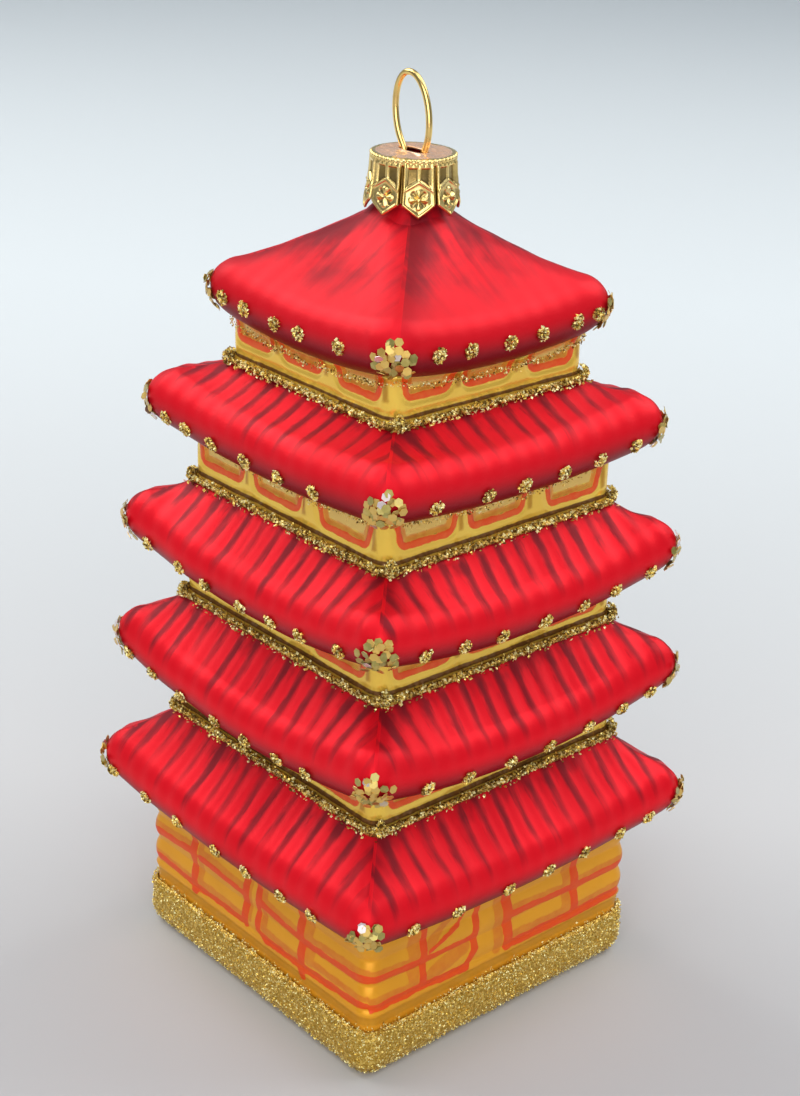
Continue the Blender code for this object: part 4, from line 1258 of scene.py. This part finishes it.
class PAGODA_OT_glitter(bpy.types.Operator):
    """Makes the glitter bands, the lines under the eaves and the dots along them"""
    bl_idname = "pagoda.glitter"
    bl_label = "Glitter"

    def execute(self, context):
        glitter = context.scene.ornament.glitter
        rng = np.random.default_rng(glitter.seed)
        metal = glitter_metal(glitter, "gold glitter grains")
        glue = glitter_glue(glitter.glue, "glitter dust in glue")
        places = base_band_places(glitter.base_count, rng)
        dress(make_grains("base_glitter_grains", places, glitter.fine_grain, rng, metal, 0.22),
              "gold_glitter")
        repaint("base_glitter_band", glitter_glue(glitter.base_glue, "bright dust in glue"))
        for number, below in enumerate(STOREYS[:-1], 2):
            places = storey_band_places(below, glitter.band_count, glitter.bead_count, rng)
            grains = make_grains(f"storey{number}_glitter_grains", places, glitter.grain, rng, metal)
            node = f"storey{number}_glitter_band"
            dress(grains, "gold_glitter", node)
            dress(make_band_core(number, below, glue), "gold_glitter", node)
        for number in (4, 5):
            places = eave_line_places(STOREYS[number - 1], 1700, rng)
            grains = make_grains(f"storey{number}_eave_line_grains", places, 0.36 * MM, rng, metal)
            dress(grains, "gold_glitter", f"storey{number}_eave_glitter_line")
        for number, (front, flank, angle) in enumerate(EAVE_DOTS, 1):
            places = self.dots(glitter, STOREYS[number - 1], (front, flank), angle, rng)
            dress(make_grains(f"roof{number}_eave_dots", places, glitter.grain, rng, metal), "gold_glitter")
        return {"FINISHED"}

    def dots(self, glitter, storey, rows, angle, rng):
        """Heaps of grains: for each dot points in a low dome, denser at its middle."""
        heaps = []
        for side in range(4):
            along = np.array(rows[side % 2]) * MM
            centres, normals = on_side(storey, side, along, angle)
            frames = square_frames(normals, rng, 0.02)
            count = glitter.dot_count
            reach = 0.5 * glitter.dot_size * np.sqrt(rng.uniform(0.0, 1.0, (len(along), count)))
            turn = rng.uniform(0.0, 2.0 * math.pi, reach.shape)
            lift = 0.62 * MM * (1.0 - (reach / (0.55 * glitter.dot_size)) ** 2) * rng.uniform(0.2, 1.0, reach.shape)
            local = np.stack([reach * np.cos(turn), reach * np.sin(turn), lift + 0.10 * MM], axis=2)
            heaps.append((np.einsum("nij,nkj->nki", frames, local) + centres[:, None]).reshape(-1, 3))
        return np.concatenate(heaps)


class PAGODA_OT_sequins(bpy.types.Operator):
    """Makes the cluster of sequins on each roof corner"""
    bl_idname = "pagoda.sequins"
    bl_label = "Sequin clusters"

    def execute(self, context):
        sequins = context.scene.ornament.sequins
        film = sequin_film(sequins, "gold sequin film")
        rng = np.random.default_rng(context.scene.ornament.glitter.seed + 1)
        for number, storey in enumerate(STOREYS, 1):
            for corner, word in enumerate(("right", "back", "left", "front")):
                cluster = make_sequins(sequins, f"roof{number}_{word}_sequin_cluster", storey, corner, rng, film)
                dress(cluster, "gold_sequins", f"roof{number}_sequins_{word}")
        return {"FINISHED"}


class PAGODA_OT_cap(bpy.types.Operator):
    """Makes the stamped cap"""
    bl_idname = "pagoda.cap"
    bl_label = "Stamped cap"

    def execute(self, context):
        metal = context.scene.ornament.metal
        dress(make_cap(metal, stamped_metal(metal, "stamped gold sheet")), "stamped_gold_cap", "cap")
        return {"FINISHED"}


class PAGODA_OT_wire(bpy.types.Operator):
    """Makes the wire loop and its legs"""
    bl_idname = "pagoda.wire"
    bl_label = "Wire loop"

    def execute(self, context):
        metal = context.scene.ornament.metal
        dress(make_wire(drawn_wire(metal, "bright gold wire")), "gold_wire", "hanger")
        return {"FINISHED"}


class PAGODA_OT_studio(bpy.types.Operator):
    """Makes the floor, the soft lights and the camera"""
    bl_idname = "pagoda.studio"
    bl_label = "Studio"

    def execute(self, context):
        studio = context.scene.ornament.studio
        self.floor(studio)
        self.lights()
        self.camera(context, studio)
        world = bpy.data.worlds.new("room")
        world.use_nodes = True
        background = world.node_tree.nodes["Background"]
        background.inputs["Color"].default_value = (*studio.sky, 1.0)
        background.inputs["Strength"].default_value = studio.sky_strength
        context.scene.world = world
        context.scene.view_settings.view_transform = "Standard"
        return {"FINISHED"}

    def floor(self, studio):
        """A round floor that sweeps up on all sides: level, then a quarter circle, then upright. Its
        rows run inwards, so that it faces the ornament."""
        turn = np.radians(np.linspace(90.0, 0.0, 25))
        out = np.concatenate([[2.1], 1.5 + 0.6 * np.sin(turn), [0.75]])
        up = np.concatenate([[2.2], 0.6 * (1.0 - np.cos(turn)), [0.0]])
        around = 2.0 * math.pi * np.arange(96) / 96.0
        plan = out[:, None, None] * np.column_stack([np.cos(around), np.sin(around)])
        points = np.dstack([plan, np.broadcast_to(up[:, None], plan.shape[:2])])
        middle = (len(out) - 1) * 96 + np.arange(96)[None]
        floor = lay_mesh("studio_floor", points, [join_rows(len(out), 96), middle], plain_floor(studio, "pale floor"))

    def lights(self):
        """Large soft lights aimed at the ornament: name, place, size, power and colour."""
        rows = [("left window", (-0.66, -0.22, 0.78), 0.75, 5.1, (1.0, 0.99, 0.97)),
                ("right window", (0.22, 0.66, 0.78), 0.75, 4.2, (1.0, 0.99, 0.97)),
                ("front fill", (0.62, -0.58, 0.42), 0.85, 5.2, (1.0, 0.99, 0.98)),
                ("overhead", (0.10, -0.10, 1.05), 0.60, 1.5, (0.97, 0.99, 1.0))]
        for name, place, size, power, colour in rows:
            lamp = bpy.data.lights.new(name, "AREA")
            lamp.size = size
            lamp.energy = power
            lamp.color = colour
            made = bpy.data.objects.new(name, lamp)
            made.location = place
            aim = Vector((0.0, 0.0, 0.06)) - Vector(place)
            made.rotation_euler = aim.to_track_quat("-Z", "Y").to_euler()
            bpy.context.scene.collection.objects.link(made)

    def camera(self, context, studio):
        data = bpy.data.cameras.new("camera")
        data.lens = studio.lens
        data.sensor_width = 36.0
        data.shift_x = -0.00219
        data.shift_y = 0.00155
        data.clip_start = 0.01
        made = bpy.data.objects.new("camera", data)
        made.location = studio.camera_place
        made.rotation_euler = studio.camera_turn
        context.scene.collection.objects.link(made)
        context.scene.camera = made


PIECES = (PAGODA_OT_glass, PAGODA_OT_glitter, PAGODA_OT_sequins, PAGODA_OT_cap, PAGODA_OT_wire,
          PAGODA_OT_studio)


class PAGODA_PT_panel(bpy.types.Panel):
    """Lists the ornament's pieces"""
    bl_idname = "PAGODA_PT_panel"
    bl_label = "Glass pagoda ornament"
    bl_space_type = "VIEW_3D"
    bl_region_type = "UI"
    bl_category = "Ornament"

    def draw(self, context):
        for piece in PIECES:
            self.layout.operator(piece.bl_idname)


CLASSES = (GlassSettings, GlitterSettings, SequinSettings, MetalSettings, StudioSettings,
           OrnamentSettings, *PIECES, PAGODA_PT_panel)


def register():
    for item in CLASSES:
        bpy.utils.register_class(item)
    bpy.types.Scene.ornament = PointerProperty(type=OrnamentSettings)


def unregister():
    del bpy.types.Scene.ornament
    for item in reversed(CLASSES):
        bpy.utils.unregister_class(item)


def main():
    register()
    bpy.ops.pagoda.glass()
    bpy.ops.pagoda.glitter()
    bpy.ops.pagoda.sequins()
    bpy.ops.pagoda.cap()
    bpy.ops.pagoda.wire()
    bpy.ops.pagoda.studio()


if __name__ == "__main__":
    main()
